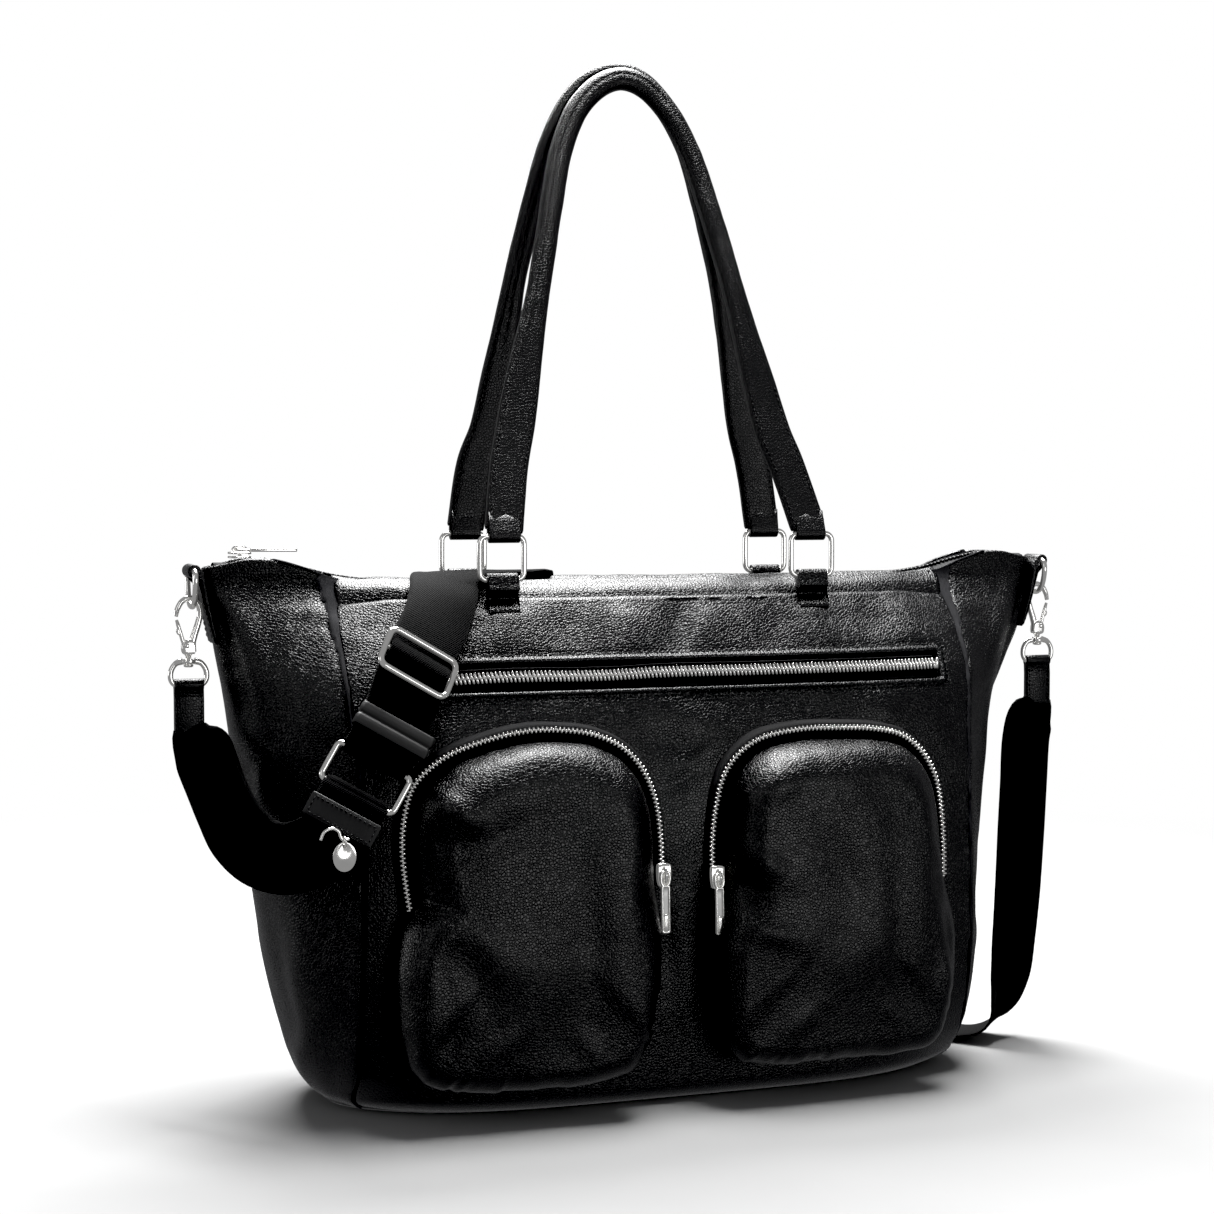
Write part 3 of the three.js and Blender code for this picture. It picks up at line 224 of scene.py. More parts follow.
class Piece:
    """Collects quads and triangles, in millimetres, then makes one object."""
    def __init__(self, name):
        self.name, self.v, self.f, self.m, self.uv, self.nv = name, [], [], [], [], 0
    def add(self, v, faces, mat=0, uv=None):
        v = np.asarray(v, float).reshape(-1, 3)
        for f in (faces if isinstance(faces, list) else [faces]):
            f = np.asarray(f, np.int64)
            if len(f):
                self.f.append(f + self.nv)
                self.m.append(np.full(len(f), mat, np.int32))
        self.v.append(v)
        self.uv.append(np.zeros((len(v), 2)) if uv is None else np.asarray(uv, float).reshape(-1, 2))
        self.nv += len(v)
        return self
    def make(self, mats, body="bag", replaces=(), slot=None, smooth=True, recalc=True, sharp=None):
        V = np.concatenate(self.v) * S
        UV = np.concatenate(self.uv)
        idx = np.concatenate([f.reshape(-1) for f in self.f])
        tot = np.concatenate([np.full(len(f), f.shape[1], np.int32) for f in self.f])
        start = np.concatenate([[0], np.cumsum(tot)[:-1]]).astype(np.int32)
        me = bpy.data.meshes.new(self.name)
        me.vertices.add(len(V)); me.vertices.foreach_set("co", V.astype(np.float32).ravel())
        me.loops.add(len(idx)); me.loops.foreach_set("vertex_index", idx.astype(np.int32))
        me.polygons.add(len(tot)); me.polygons.foreach_set("loop_start", start)
        me.polygons.foreach_set("loop_total", tot)
        me.polygons.foreach_set("material_index", np.concatenate(self.m))
        me.update(calc_edges=True)
        layer = me.uv_layers.new(name="UVMap")
        layer.data.foreach_set("uv", (UV[idx] ).astype(np.float32).ravel())
        me.validate()
        if recalc:
            bm = bmesh.new(); bm.from_mesh(me)
            bmesh.ops.recalc_face_normals(bm, faces=bm.faces)
            bm.to_mesh(me); bm.free()
        me.polygons.foreach_set("use_smooth", np.full(len(me.polygons), bool(smooth)))
        if sharp is not None:
            me.set_sharp_from_angle(angle=math.radians(sharp))
        for mt in (mats if isinstance(mats, (list, tuple)) else [mats]):
            me.materials.append(mt)
        me.update()
        ob = bpy.data.objects.new(self.name, me)
        scene.collection.objects.link(ob)
        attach(ob, body)
        if replaces:
            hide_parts(*([replaces] if isinstance(replaces, str) else replaces))
        return ob

def grid_faces(n, m, wrap_u=False, wrap_v=False, base=0):
    i = np.arange(n if wrap_u else n - 1)[:, None]; j = np.arange(m if wrap_v else m - 1)[None, :]
    a = i * m + j; b = ((i + 1) % n) * m + j; c = ((i + 1) % n) * m + (j + 1) % m; d = i * m + (j + 1) % m
    return np.stack([a, b, c, d], -1).reshape(-1, 4) + base

def grid_normals(P, wrap_u=False, wrap_v=False):
    def diff(A, ax, wrap):
        if wrap:
            return np.roll(A, -1, ax) - np.roll(A, 1, ax)
        return np.gradient(A, axis=ax)
    return unit(np.cross(diff(P, 0, wrap_u), diff(P, 1, wrap_v)))

def shell(piece, P, t, mat=0, inner_mat=None, wrap_u=False, N=None, uv=None, flip=1.0):
    """Closed thin solid under the grid P, thickness t away from its outside."""
    n, m = P.shape[:2]
    if N is None:
        N = grid_normals(P, wrap_u) * flip
    Q = P - N * (t if np.isscalar(t) else t[..., None])
    V = np.concatenate([P.reshape(-1, 3), Q.reshape(-1, 3)])
    k = n * m
    out = grid_faces(n, m, wrap_u)
    inn = grid_faces(n, m, wrap_u, base=k)[:, ::-1]
    i = np.arange(n if wrap_u else n - 1); i2 = (i + 1) % n
    rim = [np.stack([i * m, i * m + k, i2 * m + k, i2 * m], -1), np.stack([i * m + m - 1, i2 * m + m - 1, i2 * m + m - 1 + k, i * m + m - 1 + k], -1)]
    if not wrap_u:
        j = np.arange(m - 1)
        rim += [np.stack([j, j + 1, j + 1 + k, j + k], -1), np.stack([(n - 1) * m + j, (n - 1) * m + j + k, (n - 1) * m + j + 1 + k, (n - 1) * m + j + 1], -1)]
    uvs = None if uv is None else np.concatenate([uv.reshape(-1, 2)] * 2)
    piece.add(V, [out, np.concatenate(rim)], mat, uvs)
    # inner faces carry their own material
    piece.f.append(inn + piece.nv - len(V)); piece.m.append(np.full(len(inn), mat if inner_mat is None else inner_mat, np.int32))
    return piece

def tube(piece, rings, mat=0, loop=False, uv=None):
    """rings: (n, k, 3). Capped unless it is a loop."""
    rings = np.asarray(rings, float)
    n, k = rings.shape[:2]
    faces = [grid_faces(n, k, loop, True)]
    V = rings.reshape(-1, 3)
    u = None if uv is None else uv.reshape(-1, 2)
    if not loop:
        c0, c1 = rings[0].mean(0), rings[-1].mean(0)
        V = np.concatenate([V, [c0, c1]])
        j = np.arange(k); j2 = (j + 1) % k
        faces.append(np.stack([np.full(k, n * k), j2, j], -1))
        faces.append(np.stack([np.full(k, n * k + 1), (n - 1) * k + j, (n - 1) * k + j2], -1))
        if u is not None:
            u = np.concatenate([u, u[:1], u[-1:]])
    piece.add(V, faces, mat, u)
    return piece

def spline(P, n, closed=False, alpha=0.5, even=True):
    """Centripetal Catmull-Rom through P, n samples evenly spaced along it."""
    P = np.asarray(P, float)
    if closed:
        Q = np.concatenate([P[-1:], P, P[:2]])
    else:
        Q = np.concatenate([[2 * P[0] - P[1]], P, [2 * P[-1] - P[-2]]])
    out = []
    M = 24
    for i in range(1, len(Q) - 2):
        p0, p1, p2, p3 = Q[i - 1:i + 3]
        t0 = 0.0; t1 = t0 + max(np.linalg.norm((p1 - p0)[:3]), 1e-9) ** alpha
        t2 = t1 + max(np.linalg.norm((p2 - p1)[:3]), 1e-9) ** alpha; t3 = t2 + max(np.linalg.norm((p3 - p2)[:3]), 1e-9) ** alpha
        t = np.linspace(t1, t2, M, endpoint=False)[:, None]
        A1 = (t1 - t) / (t1 - t0) * p0 + (t - t0) / (t1 - t0) * p1
        A2 = (t2 - t) / (t2 - t1) * p1 + (t - t1) / (t2 - t1) * p2
        A3 = (t3 - t) / (t3 - t2) * p2 + (t - t2) / (t3 - t2) * p3
        B1 = (t2 - t) / (t2 - t0) * A1 + (t - t0) / (t2 - t0) * A2
        B2 = (t3 - t) / (t3 - t1) * A2 + (t - t1) / (t3 - t1) * A3
        out.append((t2 - t) / (t2 - t1) * B1 + (t - t1) / (t2 - t1) * B2)
    C = np.concatenate(out + ([Q[1:2]] if closed else [P[-1:]]))
    if not even:
        return C
    d = np.concatenate([[0], np.cumsum(np.linalg.norm(np.diff(C[:, :3], axis=0), axis=1))])
    s = np.linspace(0, d[-1], n + 1 if closed else n)
    if closed:
        s = s[:-1]
    return np.stack([np.interp(s, d, C[:, k]) for k in range(C.shape[1])], -1)

def length_of(P):
    return float(np.linalg.norm(np.diff(P, axis=0), axis=1).sum())

def wire(piece, P, r, plane, closed=False, n=64, sides=14, mat=0, flat=1.0):
    """Round wire along P; `plane` is a direction never along it."""
    C = spline(P, n, closed)
    d = (np.roll(C, -1, 0) - np.roll(C, 1, 0)) if closed else np.gradient(C, axis=0)
    d = unit(d)
    u = unit(np.asarray(plane, float) - d * (d @ np.asarray(plane, float))[:, None])
    w = np.cross(d, u)
    a = np.arange(sides) / sides * 2 * np.pi
    rr = r if np.isscalar(r) else np.asarray(r)[:, None, None]
    rings = C[:, None] + rr * (u[:, None] * np.cos(a)[None, :, None] * flat + w[:, None] * np.sin(a)[None, :, None])
    return tube(piece, rings, mat, closed)

def round_rect(w, h, r, n=6):
    out = []
    for sx, sy, a0 in ((1, 1, 0), (-1, 1, 1), (-1, -1, 2), (1, -1, 3)):
        for k in range(n + 1):
            a = (a0 + k / n) * math.pi / 2
            out.append((sx * (w / 2 - r) + r * math.cos(a), sy * (h / 2 - r) + r * math.sin(a)))
    return np.array(out)

def slab(piece, outline, depth, M, bevel=0.3, mat=0, hole=None):
    """Flat plate of an outline about local z = 0 with rounded edges; M is
    (origin, ex, ey, ez). `hole` is one inner outline with as many points."""
    o, ex, ey, ez = (np.asarray(v, float) for v in M)
    L = np.asarray(outline, float)
    def inset(L, d):
        e = unit(np.roll(L, -1, 0) - np.roll(L, 1, 0))
        nrm = np.stack([e[:, 1], -e[:, 0]], -1)
        area = 0.5 * np.sum(L[:, 0] * np.roll(L[:, 1], -1) - np.roll(L[:, 0], -1) * L[:, 1])
        return L - nrm * d * (1 if area > 0 else -1)
    h = depth / 2
    prof = [(bevel, -h), (bevel * 0.3, -h + bevel * 0.3), (0, -h + bevel), (0, h - bevel), (bevel * 0.3, h - bevel * 0.3), (bevel, h)]
    rings = [np.concatenate([inset(L, d), np.full((len(L), 1), z)], 1) for d, z in prof]
    if hole is not None:
        H = np.asarray(hole, float)
        rings += [np.concatenate([inset(H, -d), np.full((len(H), 1), z)], 1) for d, z in prof[::-1]]
        R = np.array(rings)
        W = o + R[..., :1] * ex + R[..., 1:2] * ey + R[..., 2:] * ez
        return tube(piece, W, mat, loop=True)
    c = L.mean(0)
    fill = lambda k, z: np.concatenate([c + (inset(L, bevel) - c) * k, np.full((len(L), 1), z)], 1)
    R = np.array([fill(0.02, -h), fill(0.55, -h)] + rings + [fill(0.55, h), fill(0.02, h)])
    W = o + R[..., :1] * ex + R[..., 1:2] * ey + R[..., 2:] * ez
    return tube(piece, W, mat)

def boxes(piece, C, A, B, N, size, bevel=0.18, mat=0):
    """Many small rounded blocks at once: centres C, axes A B N (n, 3 each), size (a, b, n)."""
    a, b, n_ = size[0] / 2, size[1] / 2, size[2] / 2
    r = bevel
    sec = round_rect(2 * a, 2 * b, min(r * 1.6, a * 0.9, b * 0.9), 1)           # 8 points
    k = len(sec)
    levels = [(-n_, 0.0), (-n_ + r, 1.0), (n_ - r, 1.0), (n_, 0.0)]
    loc = []
    for z, f in levels:
        s = sec * np.array([1 - (1 - f) * r / a, 1 - (1 - f) * r / b])
        loc.append(np.concatenate([s, np.full((k, 1), z)], 1))
    loc.append(np.array([[0, 0, -n_]])); loc.append(np.array([[0, 0, n_]]))
    loc = np.concatenate(loc)
    V = C[:, None] + loc[None, :, :1] * A[:, None] + loc[None, :, 1:2] * B[:, None] + loc[None, :, 2:] * N[:, None]
    q = grid_faces(4, k, False, True)
    j = np.arange(k); j2 = (j + 1) % k
    t = np.concatenate([np.stack([np.full(k, 4 * k), j2, j], -1), np.stack([np.full(k, 4 * k + 1), 3 * k + j, 3 * k + j2], -1)])
    cnt = len(C); off = (np.arange(cnt) * (4 * k + 2))[:, None, None]
    piece.add(V.reshape(-1, 3), [(q[None] + off).reshape(-1, 4), (t[None] + off).reshape(-1, 3)], mat)
    return piece

def stitches(piece, P, N, pitch=3.4, length=2.5, r=0.26, mat=0, lift=0.05):
    """A row of threads along the polyline P with outward normals N."""
    P, N = np.asarray(P, float), unit(N)
    d = np.concatenate([[0], np.cumsum(np.linalg.norm(np.diff(P, axis=0), axis=1))])
    n = max(1, int(d[-1] / pitch))
    s = (np.arange(n) + 0.5) * d[-1] / n
    ip = lambda A, q: np.stack([np.interp(q, d, A[:, k]) for k in range(3)], -1)
    a, b = ip(P, s - length / 2), ip(P, s + length / 2)
    nn = unit(ip(N, s))
    t = unit(b - a)
    w = np.cross(t, nn)
    prof = [(-0.5, 0.25, -0.9), (-0.42, 0.85, -0.2), (-0.2, 1.0, 0.35), (0.2, 1.0, 0.35), (0.42, 0.85, -0.2), (0.5, 0.25, -0.9)]
    ang = np.arange(6) / 6 * 2 * np.pi
    mid = (a + b) / 2
    L = np.linalg.norm(b - a, axis=1)[:, None, None]
    rings = []
    for along, rad, up in prof:
        rings.append(mid[:, None] + t[:, None] * along * L + nn[:, None] * (lift + r * up) + r * rad * (w[:, None] * np.cos(ang)[None, :, None] + nn[:, None] * np.sin(ang)[None, :, None] * 0.8))
    V = np.stack(rings, 1)                                     # n, 6 rings, 6 pts
    q = grid_faces(6, 6, False, True)
    caps = np.array([[0, 1, 2, 3], [0, 3, 4, 5], [30, 33, 32, 31], [30, 35, 34, 33]])
    off = (np.arange(n) * 36)[:, None, None]
    piece.add(V.reshape(-1, 3), [(q[None] + off).reshape(-1, 4), (caps[None] + off).reshape(-1, 4)], mat)
    return piece

# smooth seeded noise
_rng = np.random.RandomState(7)
_LAT = _rng.uniform(-1, 1, (64, 64, 64))
def noise(x, y, z=0.0, seed=0):
    """Smooth noise about -1 to 1, one lattice cell per unit."""
    x, y, z = np.broadcast_arrays(np.asarray(x, float) + 17.3 * seed, np.asarray(y, float) + 5.1 * seed, np.asarray(z, float) + 9.7 * seed)
    xi, yi, zi = np.floor(x).astype(int), np.floor(y).astype(int), np.floor(z).astype(int)
    fx, fy, fz = x - xi, y - yi, z - zi
    s = lambda t: t * t * t * (t * (t * 6 - 15) + 10)
    fx, fy, fz = s(fx), s(fy), s(fz)
    out = 0
    for dx in (0, 1):
        for dy in (0, 1):
            for dz in (0, 1):
                w = (fx if dx else 1 - fx) * (fy if dy else 1 - fy) * (fz if dz else 1 - fz)
                out = out + w * _LAT[(xi + dx) % 64, (yi + dy) % 64, (zi + dz) % 64]
    return out

def creases(x, y, items):
    """Soft ridges (amp > 0) and valleys along segments (x0, y0, x1, y1, width, amp)."""
    h = np.zeros(np.broadcast(x, y).shape)
    for x0, y0, x1, y1, w, amp in items:
        dx, dy = x1 - x0, y1 - y0
        L = math.hypot(dx, dy)
        t = np.clip(((x - x0) * dx + (y - y0) * dy) / (L * L), 0, 1)
        d = np.hypot(x - (x0 + t * dx), y - (y0 + t * dy))
        h = h + amp * np.exp(-(d / w) ** 2) * (0.35 + 0.65 * np.sin(np.pi * np.clip(t, 0.02, 0.98)))
    return h

def smooth01(t):
    t = np.clip(t, 0, 1)
    return t * t * (3 - 2 * t)

# ============================================================== strap route
# Same stations as the CAD route: centre, outward face, width.
def strap_frame(stations, step=4.0):
    P = np.array([s[0] for s in stations], float)
    W = np.array([s[2] for s in stations], float)
    C = spline(np.concatenate([P, W[:, None]], 1), int(length_of(P) / step) + 2)
    W, C = C[:, 3], C[:, :3]
    d = unit(np.gradient(C, axis=0))
    key = np.array([int(np.argmin(np.linalg.norm(C - p, axis=1))) for p in P])
    A = []
    for (p, n, w), k in zip(stations, key):
        A.append(unit(np.cross(unit(n), d[k])))
    A = np.array(A)
    a = np.stack([np.interp(np.arange(len(C)), key, A[:, k]) for k in range(3)], -1)
    ker = np.hanning(9)[1:-1]; ker /= ker.sum()
    pad = len(ker) // 2
    ap = np.concatenate([np.repeat(a[:1], pad, 0), a, np.repeat(a[-1:], pad, 0)])
    a = np.stack([np.convolve(ap[:, k], ker, "valid") for k in range(3)], -1)
    a = unit(a - d * np.sum(a * d, 1, keepdims=True))
    q = np.cross(d, a)
    return C, d, a, q, W

EYE_O = arr(-186, -87, 191)
EYE_T = unit(arr(0.53, 0.12, 0.84))
EYE_N = arr(-0.3, -0.95, 0.1); EYE_N = unit(EYE_N - EYE_T * (EYE_N @ EYE_T))
EYE_W = np.cross(EYE_T, EYE_N)
def eye(a, b, c):
    return EYE_O + EYE_T * a + EYE_W * b + EYE_N * c
FACE = (-0.32, -0.94, 0.1)
WEB_W = 38.0
SHORT = [((-262.6, -1.5, 212.2), (0, -1, 0), 18), ((-261.6, -3, 208), (-0.2, -0.98, 0), 23), ((-257, -8.5, 199), (-0.5, -0.86, 0), 35),
        ((-253.5, -18, 186), (-0.68, -0.73, 0.05), WEB_W), ((-250, -30, 172.5), (-0.7, -0.7, 0.1), WEB_W), ((-245, -43, 159.5), (-0.6, -0.79, 0.1), WEB_W),
        ((-236, -55, 150), (-0.45, -0.88, 0.1), WEB_W), ((-225.5, -67, 147.5), FACE, WEB_W), ((-215.5, -79, 151.3), FACE, WEB_W),
        (eye(-38, 0, 2.6), EYE_N, WEB_W), (eye(-30, 0, 2.9), EYE_N, WEB_W), (eye(-20, 0, 2.9), EYE_N, WEB_W),
        (eye(-10.5, 0, 2.9), EYE_N, WEB_W)]
LONG = [(eye(10.5, 0, 2.9), EYE_N, WEB_W), (eye(17, 0, 2.9), EYE_N, WEB_W), ((-169.7, -84.5, 215.1), (-0.1, -0.95, 0.3), WEB_W),
        ((-162.5, -79.2, 232), (0.05, -0.93, 0.35), WEB_W), ((-154.7, -73, 248.7), (0.2, -0.92, 0.28), WEB_W), ((-138.5, -57, 270.5), (0.09, -0.88, 0.44), WEB_W),
        ((-130.3, -42.6, 285.4), (0, -0.72, 0.7), WEB_W), ((-126.4, -31, 291.6), (0, -0.35, 0.94), WEB_W), ((-116, -17.5, 294), (0, 0, 1), WEB_W),
        ((-98, -4, 294.3), (0, 0, 1), WEB_W), ((-80, 9, 294.2), (0, 0, 1), WEB_W), ((-67, 23, 293), (0, 0.1, 1), WEB_W),
        ((-60, 37, 287.5), (0, 0.6, 0.8), WEB_W), ((-59, 46, 276), (0, 0.8, 0.6), WEB_W), ((-58, 62, 251), (0, 0.92, 0.38), WEB_W),
        ((-55, 76.5, 200), (0, 1, 0), WEB_W), ((-48, 80, 120), (0, 1, 0), WEB_W), ((-38, 81, 50), (0, 1, 0), WEB_W),
        ((-28, 84, 22), (0, 0.9, 0.3), WEB_W), ((-10, 93, 8.5), (0, 0.4, 0.9), WEB_W), ((20, 106, 2.4), (0, 0, 1), WEB_W),
        ((80, 112, 1.5), (0, 0, 1), WEB_W), ((138, 96, 1.5), (0, 0, 1), WEB_W), ((183, 73, 1.5), (0, 0, 1), WEB_W),
        ((208, 40, 1.7), (0, 0, 1), WEB_W), ((222, 17, 3), (0, 0, 1), WEB_W), ((233.5, 4, 9.5), (-0.48, 0.31, 0.82), WEB_W),
        ((241, 0, 21.5), (-0.5, 0.81, 0.32), WEB_W), ((245.5, -1, 40), (-0.36, 0.93, 0.03), WEB_W), ((247.3, -1.5, 62), (-0.3, 0.95, 0), WEB_W),
        ((249, -2.5, 90), (-0.25, 0.97, 0), WEB_W), ((250.9, -3, 130), (-0.22, 0.975, 0), WEB_W), ((252.4, -3, 160), (-0.22, 0.975, 0), WEB_W),
        ((254, -2.8, 188), (-0.22, 0.975, 0), WEB_W), ((257, -2.4, 199.5), (-0.18, 0.98, 0), 35), ((261.6, -1.8, 208), (-0.05, 1, 0), 23),
        ((262.6, -1.5, 212.2), (0, 1, 0), 18)]

def web_strip(piece, C, d, a, q, W, t=1.7, mat=0, across=14, u0=0.0):
    """Flat woven strip along a frame, with soft selvedges."""
    u = np.linspace(-1, 1, across + 1)
    u = np.sign(u) * (1 - (1 - np.abs(u)) ** 1.3)
    th = 0.5 * t * np.minimum(1, ((1 - np.abs(u)) / 0.05 + 0.35)) ** 0.6
    top = C[:, None] + a[:, None] * (u[None, :, None] * W[:, None, None] / 2) + q[:, None] * th[None, :, None]
    bot = C[:, None] + a[:, None] * (u[None, ::-1, None] * W[:, None, None] / 2) - q[:, None] * th[None, ::-1, None]
    rings = np.concatenate([top, bot], 1)
    s = np.concatenate([[0], np.cumsum(np.linalg.norm(np.diff(C, axis=0), axis=1))])
    x = np.concatenate([(u + 1) / 2, (u[::-1] + 1) / 2])
    uv = np.stack([x[None, :] * W[:, None] * S, np.repeat((s[:, None] + u0) * S, len(x), 1)], -1)
    return tube(piece, rings, mat, False, uv)

def web_eye(piece, along, mat=0):
    """The webbing turned round one bar of the loop ring."""
    aa = np.linspace(0, 2 * np.pi, 28, endpoint=False)
    sgn = 1 if along > 0 else -1
    rings = []
    for b in np.linspace(-17.9, 17.9, 13):
        edge = 1 - 0.25 * max(0, abs(b) - 16.6) / 1.3
        outer = [eye(along, b, 0) + (EYE_T * math.cos(x) + EYE_N * math.sin(x)) * (3.75 * edge) for x in aa]
        rings.append(outer)
    R = np.array(rings)
    inner = R + (np.array([eye(along, b, 0) for b in np.linspace(-17.9, 17.9, 13)])[:, None] - R) * 0.45
    allr = np.concatenate([R, inner[::-1]], 0)
    uv = np.zeros(allr.shape[:2] + (2,))
    uv[..., 0] = np.concatenate([np.linspace(0, 0.036, 13), np.linspace(0.036, 0, 13)])[:, None]
    uv[..., 1] = (aa * 3.75 * S)[None, :]
    tube(piece, allr, mat, True, uv)

Cs, ds, as_, qs, Ws = strap_frame(SHORT, 3.0)
bend = 0.5 * noise(np.arange(len(Cs)) * 0.12, 0.0, seed=2)
Cs = Cs + qs * bend[:, None] * np.clip(np.minimum(np.arange(len(Cs)), len(Cs) - 1 - np.arange(len(Cs))) / 8, 0, 1)[:, None]
short = Piece("shoulder_strap_short")
web_strip(short, Cs, ds, as_, qs, Ws)
web_eye(short, -10.5)
short = short.make([WEB], "bag", "strap_short", "webbing")

Cl, dl, al, ql, Wl = strap_frame(LONG, 3.0)
long_ = Piece("shoulder_strap_long")
web_strip(long_, Cl, dl, al, ql, Wl)
web_eye(long_, 10.5)
# the doubled layer between the loop ring and the slide
sl = np.concatenate([[0], np.cumsum(np.linalg.norm(np.diff(Cl, axis=0), axis=1))])
k1 = int(np.argmin(np.linalg.norm(Cl - arr(-154.7, -73, 248.7), axis=1)))
lay = np.linspace(0, 1, k1 + 1)
off = -1.9 - 0.8 * np.sin(np.pi * lay)
off[-3:] = [-1.2, -0.2, 0.9]
under = Cl[:k1 + 1] + ql[:k1 + 1] * off[:, None]
if (ql[2] @ EYE_N) < 0:
    under = Cl[:k1 + 1] - ql[:k1 + 1] * off[:, None]
under[0] = under[0] + EYE_T * 0.3
web_strip(long_, under, dl[:k1 + 1], al[:k1 + 1], ql[:k1 + 1], Wl[:k1 + 1] * 0.985, 1.4)
# the turn of webbing over the slide's middle bar
qo = ql[k1] * (1 if ql[k1][1] < 0 else -1)
hump = np.array([Cl[k1] + dl[k1] * t_ + qo * h_ for t_, h_ in ((-11, 0.6), (-7.5, 1.9), (-4, 4.2), (0, 5.3), (4, 4.2), (7.5, 1.9), (11, 0.6))])
Ch = spline(hump, 26); dh = unit(np.gradient(Ch, axis=0)); ah = np.repeat(al[k1][None], 26, 0); ah = unit(ah - dh * np.sum(ah * dh, 1, keepdims=True))
web_strip(long_, Ch, dh, ah, np.cross(dh, ah), np.full(26, 36.6), 1.3)
long_ = long_.make([WEB], "bag", "strap_long", "webbing")

# ============================================================== body surface
class Table:
    def __init__(self, pts):
        p = np.array(pts, float)
        self.x, self.y = p[:, 0], p[:, 1]
        s = np.diff(self.y) / np.diff(self.x)
        before, after = np.concatenate([s[:1], s[:-1]]), np.concatenate([s[1:], s[-1:]])
        self.s = s
        self.m0 = np.where(before * s <= 0, 0, (before + s) / 2)
        self.m1 = np.where(after * s <= 0, 0, (after + s) / 2)
    def __call__(self, v):
        v = np.clip(v, self.x[0], self.x[-1])
        i = np.clip(np.searchsorted(self.x, v, "right") - 1, 0, len(self.s) - 1)
        h = self.x[i + 1] - self.x[i]; k = (v - self.x[i]) / h
        return (self.y[i] * (2 * k ** 3 - 3 * k * k + 1) + self.m0[i] * h * (k ** 3 - 2 * k * k + k)
                + self.y[i + 1] * (-2 * k ** 3 + 3 * k * k) + self.m1[i] * h * (k ** 3 - k * k))

SEAM_X = Table([[0, 178], [10, 183], [60, 183], [150, 182], [200, 184], [249, 188], [270, 187.5], [292, 185], [310, 185]])
SEAM_Y = Table([[0, 34], [10, 42], [25, 54], [60, 64], [100, 67], [150, 66], [180, 63], [200, 60], [220, 56], [239, 50], [255, 40], [270, 29], [281, 20], [292, 15], [310, 15]])
BULGE = Table([[0, 36], [10, 32], [25, 21], [60, 12], [100, 9], [150, 10], [200, 12], [220, 12], [239, 12.5], [255, 15], [270, 17], [281, 18], [292, 18], [310, 18]])
FOLD_L = Table([[0, 188], [12, 200], [27, 207], [41, 210], [56, 213.5], [70, 217], [85, 220], [99, 222], [126, 227], [193, 237], [226, 242], [259, 248], [299, 255], [310, 255]])
FOLD_R = Table([[0, 182], [10, 188], [25, 196], [41, 200.5], [58, 204], [87, 209], [111, 211.5], [150, 213], [175, 215.5], [209, 221], [239, 236], [260, 247], [300, 255], [310, 255]])
FOLD_Q = Table([[0, 2.4], [200, 2.1], [260, 2.2], [299, 3], [310, 3]])
EDGE_Z = Table([[0, 290.3], [100, 290.3], [150, 291.3], [185, 292.5], [200, 298], [220, 303], [232, 303.4], [245, 301], [256, 299]])
ZIP_Z = Table([[0, 286.8], [100, 287], [135, 288.3], [180, 293], [205, 299], [222, 302], [240, 302.2], [260, 302.2]])
SEAM_TOP = Table([[0, 281], [150, 281], [186, 278]])
BOTTOM = 5.0

def bulge_p(z):
    return 4.6 - 1.4 * smooth01((z - 252) / 16)
def seam_top(x): return SEAM_TOP(np.abs(x))
def edge_z(x): return EDGE_Z(np.abs(x))
def zip_z(x): return ZIP_Z(np.abs(x))
def wall(u, z, inset=0.0, side=-1):
    k = 1.0 if side < 0 else 0.85
    x = SEAM_X(z) - inset * 0.93
    y = SEAM_Y(z) - inset
    return np.stack(np.broadcast_arrays(x * u, side * (y + k * BULGE(z) * (1 - np.abs(u) ** bulge_p(z))), z), -1)
def fold(side, v, z, inset=0.0):
    x = SEAM_X(z) - inset * 0.93
    y = SEAM_Y(z) - inset
    g = (FOLD_L if side < 0 else FOLD_R)(z) - inset * (1 + 1.6 * np.maximum(0, (z - 230) / 70))
    return np.stack(np.broadcast_arrays(side * (x + (g - x) * (1 - np.abs(v) ** FOLD_Q(z))), y * v, z), -1)
def lip(s, r):
    """How far an edge that turns inward has dropped, s from the edge."""
    q = np.clip(s / r, 0, 1)
    return r * (1 - np.sqrt(np.maximum(0, 1 - (1 - q) ** 2)))

def bottom_curl(z):
    """Panels run down to the floor and turn under."""
    return lip(z - 0.6, 8.5)

# ---- front and back panel
WIN = dict(x=166.0, z0=231.8, z1=246.2)
FRONT_FOLDS = [
    # above the flat zip
    (-18, 280, -26, 250, 12, 1.5), (6, 279, 2, 250, 8, -1.7), (26, 279, 22, 250, 10, 1.4), (66, 280, 60, 249, 11, -1.8), (92, 280, 88, 250, 10, 1.6), (128, 279, 122, 250, 12, -1.2),
    (150, 278, 152, 250, 10, 1.2), (-60, 279, -66, 252, 13, -1.4), (-95, 279, -100, 252, 10, 1.2),
    # under the zip and between the pockets
    (-14, 222, 30, 206, 9, 1.8), (-20, 206, 18, 190, 7, -1.6), (0, 190, 22, 200, 6, 1.5), (-12, 176, 6, 186, 5, -1.2), (108, 224, 136, 208, 10, 1.9), (60, 226, 92, 214, 9, -1.2),
    (-60, 226, -90, 216, 12, 1.4), (-125, 222, -150, 196, 11, 1.2), (150, 214, 170, 190, 9, 1.2), (-4, 160, 0, 60, 12, 1.6), (-14, 120, -12, 60, 6, -1.2), (12, 120, 10, 50, 6, -1.2),
    (165, 160, 172, 60, 8, 1.4), (176, 200, 178, 120, 5, -1.0), (-172, 190, -174, 60, 7, 1.3), (-60, 12, 60, 12, 7, -1.0),
]
